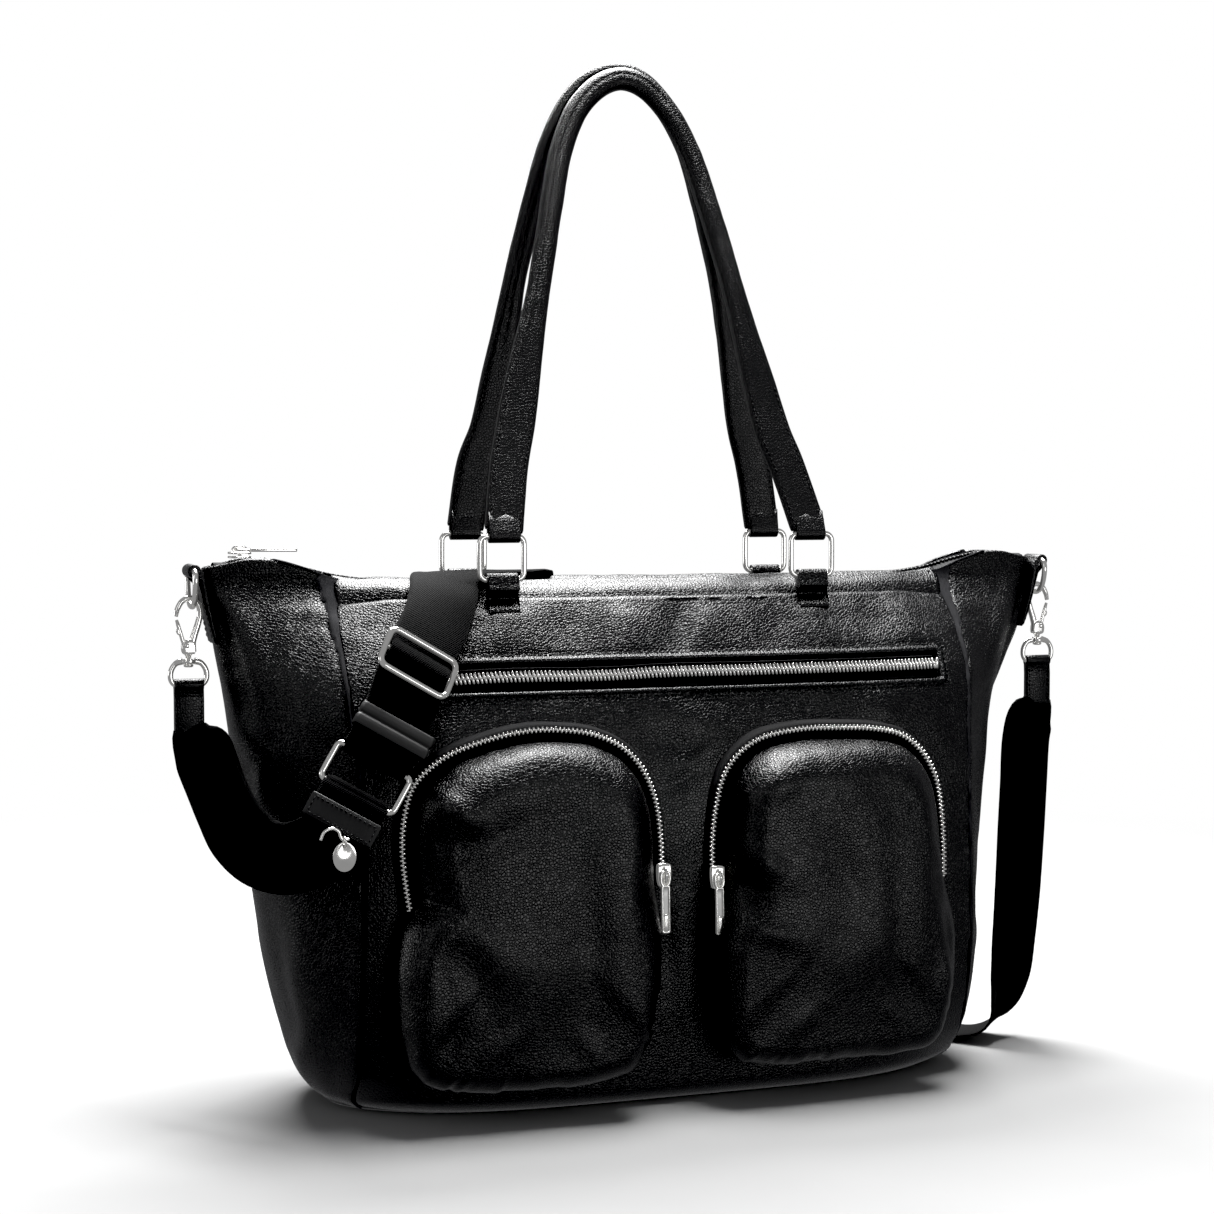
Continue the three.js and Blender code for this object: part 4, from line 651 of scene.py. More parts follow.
BACK_FOLDS = [(-120, 260, -100, 150, 16, 2.0), (-30, 270, -40, 160, 14, -1.8), (60, 262, 48, 120, 16, 2.2), (120, 240, 140, 120, 14, -1.8), (-150, 120, -90, 60, 14, 1.6), (0, 90, 90, 40, 16, -1.6), (150, 90, 110, 30, 12, 1.6)]

def panel_relief(u, z, side):
    x = SEAM_X(z) * u
    edge = smooth01((1 - np.abs(u)) * 183 / 26) * smooth01((seam_top(x) - z) / 14 + 0.15) * smooth01(z / 26)
    h = creases(x, z, FRONT_FOLDS if side < 0 else BACK_FOLDS)
    h = h + 1.6 * noise(x / 62, z / 48, seed=3 + side) + 0.6 * noise(x / 30, z / 25, seed=9 + side) + 0.07 * noise(x / 9, z / 9, seed=12)
    # small gathers along the side seams and under the top seam
    s = (1 - np.abs(u)) * 183
    g = 0.55 * np.exp(-(s / 9) ** 2) * noise(z / 7.5, 0.0 * z, seed=21 + side) + 0.4 * np.exp(-((seam_top(x) - z) / 8) ** 2) * noise(x / 9, 0.0 * x, seed=22)
    return h * edge * 0.9 + g

def lines(a, b, n, dense=(), width=3.0, step=0.4):
    base = list(np.linspace(a, b, n))
    for c in dense:
        base += list(np.arange(c - width, c + width, step))
    base = np.array(sorted(set(np.round(base, 3))))
    base = base[(base >= a) & (base <= b)]
    keep = [base[0]]
    for v in base[1:]:
        if v - keep[-1] > step * 0.6:
            keep.append(v)
    keep[-1] = b
    return np.array(keep)

def front_surface(u, z, side=-1):
    x = SEAM_X(z) * u
    s = (1 - np.abs(u)) * SEAM_X(z)
    inset = lip(s, 2.6) + lip(seam_top(x) - z + 0.1, 2.0) + bottom_curl(z)
    P = wall(u, z, inset, side)
    return P, x, s

xs = lines(0, 183, 150, (166.5,), 3.0, 0.5) / 183
xs = np.concatenate([xs, 1 - np.array([0.35, 0.9, 1.7, 2.8]) / 183]); xs = np.unique(np.round(np.clip(xs, 0, 1), 5))
US = np.concatenate([-xs[::-1][:-1], xs])
TS = lines(0.6, 281, 190, (231.8, 246.2), 3.2, 0.45)
TS = np.unique(np.round(np.concatenate([TS, 281 - np.array([0.3, 0.8, 1.5]), 0.6 + np.array([0.3, 0.9, 1.8, 3.0])]), 4))

def make_panel(side):
    u, t = np.meshgrid(US, TS, indexing="ij")
    top = seam_top(183 * u) - 0.15
    z = np.where(t > 250, 250 + (t - 250) * (top - 250) / 31, t)
    P, x, s = front_surface(u, z, side)
    N = grid_normals(P)
    N = N * np.sign(np.sum(N * arr(0, side, 0), -1, keepdims=True) + 1e-9)
    N = np.where((np.abs(N[..., 1:2]) < 1e-3), arr(0, side, 0), N)
    h = panel_relief(u, z, side)
    matf = None
    if side < 0:
        ax = np.abs(x)
        inside = smooth01((WIN["x"] - ax) / 0.9 + 0.5) * smooth01((z - WIN["z0"]) / 0.9 + 0.5) * smooth01((WIN["z1"] - z) / 0.9 + 0.5)
        dxo, dzo = np.maximum(ax - WIN["x"], 0), np.maximum(np.maximum(WIN["z0"] - z, z - WIN["z1"]), 0)
        d = np.hypot(dxo, dzo)
        near = smooth01(1 - d / 9)
        h = h * (1 - 0.75 * near)
        h = h + (1 - inside) * (1.15 * np.exp(-((d - 1.7) / 1.35) ** 2)) - 5.0 * inside - 0.5 * np.exp(-((d - 4.4) / 0.9) ** 2)
    P = P + N * h[..., None]
    piece = Piece("front_body_panel" if side < 0 else "back_body_panel")
    shell(piece, P, 1.3, 0, 1, N=N)
    return piece, P, N, u, z

front_p, FP, FN, FU, FZ = make_panel(-1)
front = front_p.make([LEATHER, LINING], "bag", "front_panel", "leather")
back_p, BP, BN, BU, BZ = make_panel(1)
backp = back_p.make([LEATHER, LINING], "bag", "back_panel", "leather")

# ---- gussets with the wings
GUSSET_FOLDS = {
    -1: [(-0.55, 296, -0.5, 215, 7, 2.4), (-0.28, 296, -0.3, 225, 6, -2.2), (-0.8, 285, -0.75, 200, 5, 1.2), (-0.5, 195, -0.15, 150, 7, 1.8), (-0.15, 195, -0.5, 140, 6, -1.4),
         (-0.6, 120, -0.5, 60, 9, 1.8), (-0.25, 110, -0.3, 40, 9, -1.4), (-0.7, 60, -0.2, 20, 8, 1.4), (0.3, 280, 0.3, 160, 9, 1.6), (0.4, 120, 0.2, 40, 10, 1.6)],
    1: [(-0.6, 292, -0.75, 230, 6, 2.6), (-0.35, 290, -0.45, 220, 6, -2.6), (-0.5, 215, -0.6, 140, 8, 1.6), (-0.3, 150, -0.5, 90, 7, -1.4), (-0.6, 90, -0.4, 40, 8, 1.6),
        (-0.55, 60, -0.7, 30, 5, -1.6), (0.3, 280, 0.3, 160, 9, 1.6), (0.4, 120, 0.2, 40, 10, 1.6)],
}
def make_gusset(side):
    v1 = np.linspace(0, 1, 76)
    v1 = np.unique(np.round(np.concatenate([v1, 1 - np.array([0.35, 0.9, 1.7, 2.8]) / 60]), 5))
    vs = np.concatenate([-v1[::-1][:-1], v1])
    ks = np.unique(np.round(np.concatenate([np.linspace(0, 1, 190), 1 - np.array([0.4, 1.0, 1.8]) / 300, np.array([0.3, 0.9, 1.8, 3.0]) / 290]), 5))
    v, k = np.meshgrid(vs, ks, indexing="ij")
    top = np.full(v.shape, 292.0)
    for _ in range(5):
        top = edge_z(fold(side, v, top)[..., 0])
    z = 0.6 + (top - 0.6) * k
    s = (1 - np.abs(v)) * np.maximum(SEAM_Y(z), 14) * 1.25
    inset = lip(s, 2.6) + bottom_curl(z) + lip(top - z + 0.2, 1.6) * smooth01(s / 4)
    P = fold(side, v, z, inset)
    N = grid_normals(P)
    N = N * np.sign(np.sum(N * arr(side, 0, 0), -1, keepdims=True) + 1e-9)
    # ridges in (v scaled to mm, z)
    vm = v * 60
    items = [(a * 60, b, c * 60, d, w, amp) for a, b, c, d, w, amp in GUSSET_FOLDS[side]]
    edge = smooth01(s / 20) * smooth01(z / 22) * smooth01((top - z) / 10 + 0.2)
    h = creases(vm, z, items) + 1.7 * noise(vm / 34, z / 52, seed=30 + side) + 0.7 * noise(vm / 18, z / 27, seed=33 + side) + 0.06 * noise(vm / 8, z / 8, seed=36)
    g = 0.6 * np.exp(-(s / 8) ** 2) * noise(z / 7.0, 0.0 * z, seed=40 + side)
    P = P + N * (h * edge + g)[..., None]
    piece = Piece("gusset_wing_left" if side < 0 else "gusset_wing_right")
    shell(piece, P, 1.3, 0, 1, N=N)
    return piece, P, N, v, z
gl_p, GLP, GLN, GLV, GLZ = make_gusset(-1)
gus_l = gl_p.make([LEATHER, LINING], "bag", "gusset_left", "leather")
gr_p, GRP, GRN, GRV, GRZ = make_gusset(1)
gus_r = gr_p.make([LEATHER, LINING], "bag", "gusset_right", "leather")

# ---- cords set into the four upright seams, coloured near-black as painted shadow of the seam grooves
for side in (-1, 1):
    for face in (-1, 1):
        zs_ = np.linspace(1.4, 291.5, 90)
        ins = 4.3 + bottom_curl(zs_) * 0.95
        P = np.stack([side * (SEAM_X(zs_) - ins), face * (SEAM_Y(zs_) - ins), zs_], -1)
        pc = Piece("seam_shadow_cord_%s_%s" % ("front" if face < 0 else "back", "left" if side < 0 else "right"))
        wire(pc, P, 2.3, (side, face, 0), False, 200, 12)
        pc.make([SEAM], "bag", slot="leather")

# ---- base
def outline(z, inset, nf=90, ng=40):
    u = np.linspace(-1, 1, nf, endpoint=False); v = np.linspace(-1, 1, ng, endpoint=False)
    zz = np.full(nf, z); zg = np.full(ng, z)
    return np.concatenate([wall(u, zz, inset), fold(1, v, zg, inset), wall(-u, zz, inset, 1), fold(-1, -v, zg, inset)])
base = Piece("base_panel_leather")
rings = []
for z, i, k in ((5.5, 12.0, 0.02), (5.5, 12.0, 0.5), (5.5, 9.5, 1), (4.2, 7.6, 1), (2.0, 8.4, 1), (0.6, 10.4, 1), (0.0, 13.0, 1), (0.0, 16, 0.7), (0.0, 16, 0.35), (0.0, 16, 0.02)):
    o = outline(9.4, i); o[:, 2] = z; o[:, :2] *= k
    rings.append(o)
tube(base, rings)
base = base.make([LEATHER], "bag", "base_panel", "leather")

# ---- lining stays the CAD solid, dressed as cloth
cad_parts["lining"].data.materials.clear()
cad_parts["lining"].data.materials.append(LINING)

# ---- top bands
def make_band(side):
    xs = np.linspace(-185, 185, 150)
    prof_n = 26
    P = np.zeros((len(xs), prof_n, 3))
    for i, x in enumerate(xs):
        u = float(np.clip(x / 183.5, -1, 1))
        zs = float(seam_top(x)) - 1.2
        e, zz = float(edge_z(x)), float(zip_z(x))
        y0 = abs(float(wall(np.array(np.clip(x / 186, -1, 1)), np.array(zs), 2.4, side)[1]))
        ye = 13 + 9 * (1 - abs(u) ** 2.4)
        c = [(y0, zs), (y0 - (y0 - ye) * 0.38, zs + (e - zs) * 0.62), (ye + 0.6, e - 0.6), (ye - 1.0, e + 0.25), ((ye + 7.6) / 2, (e + zz) / 2 + 0.5), (8.3, zz + 0.25), (7.6, zz - 0.6)]
        q = spline(np.array([(a, b, 0.0) for a, b in c]), prof_n)
        P[i] = np.stack([np.full(prof_n, x), side * q[:, 0], q[:, 1]], -1)
    N = grid_normals(P)
    N = N * np.sign(np.sum(N * arr(0, side * 0.5, 1), -1, keepdims=True))
    x = P[..., 0]
    k = np.linspace(0, 1, prof_n)[None, :]
    P = P + N * ((0.5 * noise(x / 34, k * 1.5, seed=50 + side) + 0.3 * noise(x / 12, k * 3, seed=51)) * np.sin(np.pi * k) ** 0.7)[..., None]
    piece = Piece("top_band_front_leather" if side < 0 else "top_band_back_leather")
    shell(piece, P, 1.2, 0, 1, N=N)
    # the turned lower edge lies proud of the panel; its wire is coloured near-black as a painted shadow line under the
    # band
    wire(piece, P[:, 0] + arr(0, side * 1.1, -0.6), 0.9, (0, 0.3, 1), False, 220, 8, 3)
    # stitch line just above the seam
    j = 3
    stitches(piece, P[6:-6, j], N[6:-6, j], 3.4, 2.4, 0.24, 2)
    return piece.make([LEATHER, LINING, THREAD, SEAM], "bag", "top_band_front" if side < 0 else "top_band_back", "leather"), P, N
band_f, BFP, BFN = make_band(-1)
band_b, BBP, BBN = make_band(1)

# ---- top zip: two tapes and a closed coil
topz = Piece("top_zip_tapes_and_coil")
xs = np.linspace(-249, 249, 260)
zt = zip_z(xs) - 0.7
gy = np.where(np.abs(xs) > 183, SEAM_Y(292) * np.clip((254.5 - np.abs(xs)) / 70, 0.0, 1) ** (1 / 3.0) - 1.5, 9.2)
hw = np.where(np.abs(xs) > 190, np.clip(gy, 1.5, 13), 9.2)
edge_drop = np.where(np.abs(xs) > 183, 1.2, 0.4)
for sgn in (-1, 1):
    y = np.array([0.25, 1.2, 3.0, 5.5, 8.0, 1.0])
    P = np.zeros((len(xs), 6, 3))
    for j in range(6):
        f = j / 5
        P[:, j, 0] = xs; P[:, j, 1] = sgn * (0.3 + (hw - 0.3) * f); P[:, j, 2] = zt - 0.25 * np.sin(np.pi * f) + 0.12 * noise(xs / 11, f * 2, seed=60) - edge_drop * f * f
    shell(topz, P, 0.7, 0, 0, N=np.broadcast_to(arr(0, 0, 1), P.shape))
run = spline(np.stack([xs, 0 * xs, zip_z(xs) - 0.2], -1)[8:-8], 1500)
L = length_of(run); n = int(L / 1.35)
C = run[np.linspace(0, len(run) - 1, n).astype(int)]
T = unit(np.gradient(C, axis=0)); Nn = unit(np.cross(T, np.broadcast_to(arr(0, 1, 0), T.shape))); Nn *= np.sign(Nn[:, 2:3])
side_ = np.where(np.arange(n) % 2 == 0, 1.0, -1.0)[:, None]
Yv = np.broadcast_to(arr(0, 1, 0), T.shape)
boxes(topz, C + Yv * side_ * 0.9 + Nn * 0.35, T, unit(Yv + T * 0.18 * side_), Nn, (1.0, 4.0, 1.8), 0.35, 1)
topz.make([TAPE, COIL], "bag", "top_zip", "tape")

def on_grid(P, N, us, ts, u, t):
    """Point and normal of a gridded surface at parameters (u, t)."""
    u, t = np.broadcast_arrays(np.asarray(u, float), np.asarray(t, float))
    i = np.clip(np.searchsorted(us, u) - 1, 0, len(us) - 2); j = np.clip(np.searchsorted(ts, t) - 1, 0, len(ts) - 2)
    a = ((u - us[i]) / (us[i + 1] - us[i]))[..., None]; b = ((t - ts[j]) / (ts[j + 1] - ts[j]))[..., None]
    w = lambda A: A[i, j] * (1 - a) * (1 - b) + A[i + 1, j] * a * (1 - b) + A[i, j + 1] * (1 - a) * b + A[i + 1, j + 1] * a * b
    return w(P), unit(w(N))

def at(M, L):
    """Local points laid on a frame (origin, ex, ey, ez)."""
    o, ex, ey, ez = (np.asarray(v, float) for v in M)
    L = np.asarray(L, float)
    return o + L[..., :1] * ex + L[..., 1:2] * ey + L[..., 2:] * ez

def frame_of(M, P, ex=(1, 0, 0), ey=(0, 1, 0), ez=(0, 0, 1)):
    """A frame given inside the frame M."""
    o, a, b, c = (np.asarray(v, float) for v in M)
    turn = lambda v: a * v[0] + b * v[1] + c * v[2]
    return (at(M, np.array(P, float)), turn(ex), turn(ey), turn(ez))

# ---- flat zip across the front
def wall_y(x, z):
    x, z = np.broadcast_arrays(np.asarray(x, float), np.asarray(z, float))
    return wall(x / SEAM_X(z), z)[..., 1]
def row_z(x):
    return 239 + 1.0 * noise(np.asarray(x, float) / 48, 0.0, seed=70)
fz = Piece("front_zip_tapes_and_teeth")
xs = np.linspace(-167, 167, 260)
zz = np.linspace(230.9, 247.1, 14)
X, Z = np.meshgrid(xs, zz, indexing="ij")
Y = wall_y(X, Z) + 3.3 - 0.9 * np.exp(-((Z - 239) / 4.5) ** 2) + 0.2 * noise(X / 14, Z / 5, seed=71)
P = np.stack([X, Y, Z], -1)
shell(fz, P, 0.7, 0, 0, N=np.broadcast_to(arr(0, -1, 0), P.shape))
pitch = 2.35
for sgn in (-1, 1):
    cx = np.arange(-163.5 + (pitch / 2 if sgn > 0 else 0), 163.6, pitch)
    zc = row_z(cx)
    C = np.stack([cx, wall_y(cx, zc) + 1.75, zc + sgn * 1.15], -1)
    T = unit(np.stack([np.ones_like(cx), np.gradient(C[:, 1], cx), np.gradient(zc, cx)], -1))
    up = unit(np.broadcast_to(arr(-0.12, 0, 1.0), T.shape) - T * 0)
    Nn = unit(np.cross(up, T)); Nn *= -np.sign(Nn[:, 1:2]); Bv = unit(np.cross(Nn, T)); Bv *= np.sign(Bv[:, 2:3])
    Bv = unit(Bv + T * -0.2)
    boxes(fz, C, T, Bv, Nn, (1.22, 4.2, 2.1), 0.36, 1)
    # rounded head of each tooth, at the middle of the row
    boxes(fz, C - Bv * sgn * 1.2 + Nn * 0.15, T, Bv, Nn, (1.5, 1.3, 2.0), 0.4, 1)
    # cord along the tape's edge
    wire(fz, np.stack([cx, wall_y(cx, zc) + 2.3, zc + sgn * 4.3], -1)[::3], 0.6, (0, 1, 0), False, 300, 6, 0)
for e in (-1, 1):
    x0 = e * 165.0
    boxes(fz, np.array([[x0, wall_y(x0, 239) + 1.7, float(row_z(x0))]]), arr([1, 0, 0]), arr([0, 0, 1]), arr([0, -1, 0]), (1.9, 6.2, 2.2), 0.4, 1)
fz = fz.make([TAPE, TEETH], "bag", "front_zip", "teeth")
# stitch line round its window
wst = Piece("front_zip_window_stitches")
for z in (WIN["z0"] - 4.3, WIN["z1"] + 4.3):
    xw = np.linspace(-168, 170, 260)
    p, n = on_grid(FP, FN, US, TS, xw / SEAM_X(z), np.full(len(xw), z))
    stitches(wst, p, n, 3.1, 2.25, 0.27)
for x in (-170.4, 170.6):
    zw = np.linspace(WIN["z0"] - 4, WIN["z1"] + 4, 20)
    p, n = on_grid(FP, FN, US, TS, x / SEAM_X(zw), zw)
    stitches(wst, p, n, 3.1, 2.25, 0.27)
wst.make([THREAD], "bag", slot="leather")

# ============================================================== pockets
POCKET = {
    "left": dict(M=(arr(-90, -76.4577, 137.5), arr(0.999348, -0.0360787, 0.00139238), arr(0, 0.0385642, 0.999256), arr(-0.0361055, -0.998605, 0.038539)), s=-1,
        arch=[(-159.5, 117), (-161.5, 130), (-163, 145), (-163, 158), (-161, 171), (-158, 181), (-153, 188), (-138, 199), (-115, 207), (-93, 211), (-76, 211), (-56, 208), (-39, 200), (-28, 188), (-20.5, 170), (-18, 151), (-17.5, 135), (-17.6, 124)],
        low=[(-157.5, 117), (-163.5, 108), (-165.5, 90), (-165, 71), (-164, 50), (-160, 34), (-148, 25), (-119, 20.5), (-84, 20), (-52, 22), (-39, 27), (-32, 38), (-27, 56), (-23.5, 80), (-21, 104), (-20, 122)]),
    "right": dict(M=(arr(86.5, -76.5398, 134.5), arr(0.999466, 0.0326416, -0.00116493), arr(0, 0.0356657, 0.999364), arr(0.0326624, -0.998831, 0.0356466)), s=1,
        arch=[(13.9, 121), (12.5, 134), (13, 150), (15.5, 167), (20, 182), (28, 193), (42, 202), (67, 206.5), (92, 206.5), (115, 205), (132, 201), (144, 192), (151, 182), (155, 172), (157.5, 155), (158.5, 138), (158.5, 118)],
        low=[(14.8, 118), (14.2, 100), (14, 80), (14.6, 55), (17, 37), (25, 26.5), (48, 22.5), (89, 22), (125, 22), (143, 25), (151, 36), (154.5, 52), (157.5, 75), (159.5, 100), (158, 118)]),
}
POCKET_FOLDS = {
    "left": [(-62, 44, -34, 24, 7.5, 3.2), (-66, 26, -42, 6, 9, -1.5), (-24, 64, 30, 62, 9, 1.6), (-52, 12, 8, 30, 10, -1.8), (-60, -22, -20, -50, 10, 1.8), (-64, -30, -62, -80, 6, 1.2), (-48, -30, -30, -78, 9, -1.6),
             (-10, -20, -4, -96, 14, 1.4), (40, -10, 44, -90, 12, 1.3), (20, 10, 26, -80, 10, -1.2), (56, 20, 58, -60, 7, -1.0), (-40, -104, -14, -84, 7, 1.4), (30, -104, 16, -86, 6, 1.2), (-58, -96, -46, -78, 5, -1.6)],
    "right": [(-56, 40, -30, 50, 10, 2.6), (-60, 6, -40, -8, 7.5, 2.4), (-64, -6, -48, -30, 7, -1.7), (-60, -34, -30, -44, 7, 2.2), (-18, 62, 40, 56, 9, 1.4), (-20, 20, 10, -30, 10, -1.4), (12, 30, 18, -80, 14, 1.4),
              (40, 20, 44, -90, 12, 1.2), (28, -10, 30, -80, 9, -1.2), (58, 0, 64, -24, 5, 2.0), (62, -30, 66, -60, 5, -1.6), (60, -60, 64, -84, 5, 1.8), (-44, -98, -20, -80, 7, 1.4), (34, -98, 20, -78, 6, 1.2)],
}
def pocket_local(M, pts):
    o = M[0]
    p = np.array(pts, float)
    return np.stack([(p[:, 0] - o[0]) / M[1][0], (p[:, 1] - o[2]) / M[2][2]], -1)

def make_pocket(name):
    d = POCKET[name]; M = d["M"]; s = d["s"]
    A = pocket_local(M, d["arch"])
    line = spline(np.concatenate([A, np.zeros((len(A), 1))], 1), 900)[:, :2]
    e = unit(np.gradient(line, axis=0)); nl = np.stack([e[:, 1], -e[:, 0]], -1)          # outward is away from the middle
    if np.mean(np.sum(nl * (line - arr(0, -30)), -1)) < 0:
        nl = -nl
    inner = line - nl * 6.6
    L = pocket_local(M, d["low"])
    # one closed outline: the arch's inside, then the sewn sides and foot
    if s < 0:
        loop = np.concatenate([inner[18:-10:14], L[::-1][1:-1]])
    else:
        loop = np.concatenate([inner[10:-18:14], L[::-1][1:-1]])
    dense = spline(np.concatenate([loop, np.zeros((len(loop), 1))], 1), 2400, True)[:, :2]
    c = arr(0, -30)
    ang = np.arctan2(dense[:, 1] - c[1], dense[:, 0] - c[0]); R = np.hypot(*(dense - c).T)
    o = np.argsort(ang); ang, R = ang[o], R[o]
    ang = np.concatenate([ang - 2 * np.pi, ang, ang + 2 * np.pi]); R = np.tile(R, 3)
    # points evenly along the outline, not evenly in angle
    peri = spline(np.concatenate([loop, np.zeros((len(loop), 1))], 1), 460, True)[:, :2]
    t = np.unwrap(np.arctan2(peri[:, 1] - c[1], peri[:, 0] - c[0]))
    Rt = np.interp((t + np.pi) % (2 * np.pi) - np.pi, ang, R)
    f = np.concatenate([np.linspace(0.008, 0.55, 34, endpoint=False), 1 - 0.45 * (1 - np.linspace(0, 1, 74)) ** 1.25])
    F, T = np.meshgrid(f, t, indexing="ij")
    RR = np.interp((T + np.pi) % (2 * np.pi) - np.pi, ang, R)
    dirx, diry = np.cos(T), np.sin(T)
    y_edge = c[1] + diry * RR
    low = smooth01((-28 - y_edge) / 30)                      # 0 in the arch, 1 on the sewn sides and foot
    foot = smooth01((-86 - y_edge) / 20)
    E = 23 - 8.5 * low - 1.5 * foot
    H = 23.4 - (0.6 * low + 2.0 * foot) * smooth01((F - 0.2) / 0.6)
    edge = (1 - F) * RR
    q = np.clip(edge / E, 0, 1)
    h = H * (1 - (1 - q) ** (2.25 + 0.6 * low)) ** (1 / (1.9 + 0.5 * low))
    x = c[0] + dirx * RR * F; y = c[1] + diry * RR * F
    h = h + 2.8 * (1 - F ** 2.2)
    # the sides lean out a little over their seam, and sag at the foot
    swell = np.sin(np.pi * np.clip(h / 24, 0, 1)) * (1.1 + 2.2 * low - 0.8 * foot) * np.exp(-edge / 12)
    x = x + dirx * swell; y = y + diry * swell
    fade = smooth01(edge / 8)
    r = creases(x, y, POCKET_FOLDS[name]) + 1.6 * noise(x / 46, y / 42, seed=80 + s) + 0.55 * noise(x / 24, y / 27, seed=83 + s) + 0.06 * noise(x / 8, y / 8, seed=86)
    gather = 1.0 * np.exp(-(edge / 7) ** 2) * noise(T * RR / 6.5, 0 * T, seed=88 + s) * (0.25 + 0.75 * low)
    P2 = np.stack([x, y, h], -1)
    N = grid_normals(P2.transpose(1, 0, 2), wrap_u=True).transpose(1, 0, 2)
    N = N * np.sign(np.sum(N * np.stack([dirx * 0.6, diry * 0.6, np.ones_like(dirx)], -1), -1, keepdims=True))
    P2 = P2 + N * (r * fade * 0.9 + gather * 0.8)[..., None]
    # a sewn rim along the arch
    W = at(M, P2)
    base = W[-1].copy()
    skirt1, skirt2 = base.copy(), base.copy()
    gy = wall_y(base[:, 0], base[:, 2])
    skirt1[:, 1] = np.maximum(base[:, 1] + 1.2, gy - 0.4); skirt2[:, 1] = np.maximum(base[:, 1] + 2.4, gy + 1.6)
    W = np.concatenate([W, skirt1[None], skirt2[None]])
    piece = Piece("pocket_%s_leather" % name)
    tube(piece, W)
    ob = piece.make([LEATHER], "bag", "pocket_" + name, "leather")
    return ob, line, nl, A

def make_pocket_zip(name, line, nl):
    d = POCKET[name]; M = d["M"]
    piece = Piece("pocket_zip_%s_teeth" % name)
    prof = [(4.4, -3.6, 2), (3.3, -0.6, 2), (2.5, 0.75, 2), (1.7, 1.0, 0), (0.6, 1.25, 0), (-0.8, 1.45, 0), (-2.8, 1.3, 0), (-5.2, 1.2, 0), (-7.2, 0.4, 0), (-7.6, -2.6, 0), (-1.5, -3.8, 0)]
    k = np.linspace(0, len(line) - 1, 300).astype(int)
    rings = np.zeros((len(k), len(prof), 3))
    for j, (off, h, _) in enumerate(prof):
        rings[:, j, :2] = line[k] + nl[k] * off
        rings[:, j, 2] = h
    W = at(M, rings)
    # the outer edge is sewn down to the panel
    gy = wall_y(W[:, 0, 0], W[:, 0, 2])
    W[:, 0, 1] = np.maximum(W[:, 0, 1], gy + 0.8); W[:, 10, 1] = np.maximum(W[:, 10, 1], gy + 1.5)
    tube(piece, W, 0)
    s = np.concatenate([[0], np.cumsum(np.linalg.norm(np.diff(line, axis=0), axis=1))])
    n = int(s[-1] / 1.22)
    q = (np.arange(n) + 0.5) * s[-1] / n
    ip = lambda Aa: np.stack([np.interp(q, s, Aa[:, j]) for j in range(2)], -1)
    p, nn = ip(line), unit(ip(nl))
    alt = np.where(np.arange(n) % 2 == 0, 1.0, -1.0)[:, None]
    C = at(M, np.concatenate([p + nn * alt * 0.55, np.full((n, 1), 2.1)], 1))
    turn = lambda v: v[:, :1] * M[1] + v[:, 1:2] * M[2]
    tn = turn(nn); tt = turn(np.stack([-nn[:, 1], nn[:, 0]], -1))
    boxes(piece, C, tt, tn, np.broadcast_to(M[3], C.shape), (0.92, 2.3, 1.7), 0.3, 1)
    return piece.make([TAPE, TEETH, SMOOTH], "bag", "pocket_zip_" + name, "teeth")

pockets = {}
for side_name in ("left", "right"):
    ob, line, nl, A = make_pocket(side_name)
    pockets[side_name] = ob
    make_pocket_zip(side_name, line, nl)

# ============================================================== sliders and pulls
def make_slider(name, M, w, l, h, body, node):
    p = Piece(name)
    half = [(0.34 * w, -l / 2), (0.46 * w, -l * 0.3), (0.5 * w, -l * 0.02), (0.5 * w, l * 0.3), (0.44 * w, l / 2)]
    outl = spline(np.array([(x, y, 0) for x, y in half] + [(-x, y, 0) for x, y in half[::-1]]), 44, True)[:, :2]
    slab(p, outl, h * 0.34, frame_of(M, (0, 0, h * 0.82)), 0.35)
    slab(p, outl, h * 0.30, frame_of(M, (0, 0, h * 0.16)), 0.3)
    slab(p, round_rect(w * 0.34, l * 0.5, 0.6), h * 0.6, frame_of(M, (0, -l * 0.18, h * 0.5)), 0.2)
    slab(p, round_rect(w * 0.5, l * 0.46, 1.0), 0.7, frame_of(M, (0, 0, h + 0.25)), 0.25)
    wire(p, at(M, np.array([(0, -l * 0.3, h * 0.7), (0, -l * 0.29, h + 1.7), (0, 0.3, h + 3.1), (0, l * 0.31, h + 1.7), (0, l * 0.34, h * 0.7)])), 0.85, M[1], False, 36, 12)
    return p.make([METAL], body, node, "steel", sharp=50)

def make_pull(name, M, w, l, t, body, node, hanging=False):
    """Frame bar with a sunken plate; the hinge is at the origin, the bar runs to -y."""
    p = Piece(name)
    if hanging:
        wire(p, at(M, np.array([(0, 1.9 * math.cos(a), 1.9 * math.sin(a)) for a in np.arange(12) * math.pi / 6])), 0.7, M[1], True, 48, 10)
        top = -4.0
    else:
        # loop that goes through the crown
        wire(p, at(M, np.array([(0, 0.6, 0), (1.9, 0.1, 0), (2.5, -1.8, 0), (2.4, -4.6, 0), (1.6, -6.6, 0), (0, -7.2, 0), (-1.6, -6.6, 0), (-2.4, -4.6, 0), (-2.5, -1.8, 0), (-1.9, 0.1, 0)])), 0.78, M[3], True, 60, 12)
        top = -6.6
    L = l + top
    c = top - L / 2
    outer, inner = round_rect(w, L, 1.3, 5), round_rect(w - 2.1, L - 2.1, 0.7, 5)
    slab(p, outer, t + 0.5, frame_of(M, (0, c, 0)), 0.4, 0, inner)
    slab(p, round_rect(w - 1.7, L - 1.7, 0.7, 5), t * 0.45, frame_of(M, (0, c, 0)), 0.1, 1)
    lo = L * 0.34
    slab(p, round_rect(w - 2.6, lo, 0.8, 5), t + 0.35, frame_of(M, (0, -l + lo / 2 + 1.4, 0)), 0.35, 0)
    return p.make([METAL, PLATE], body, node, "steel", sharp=55)

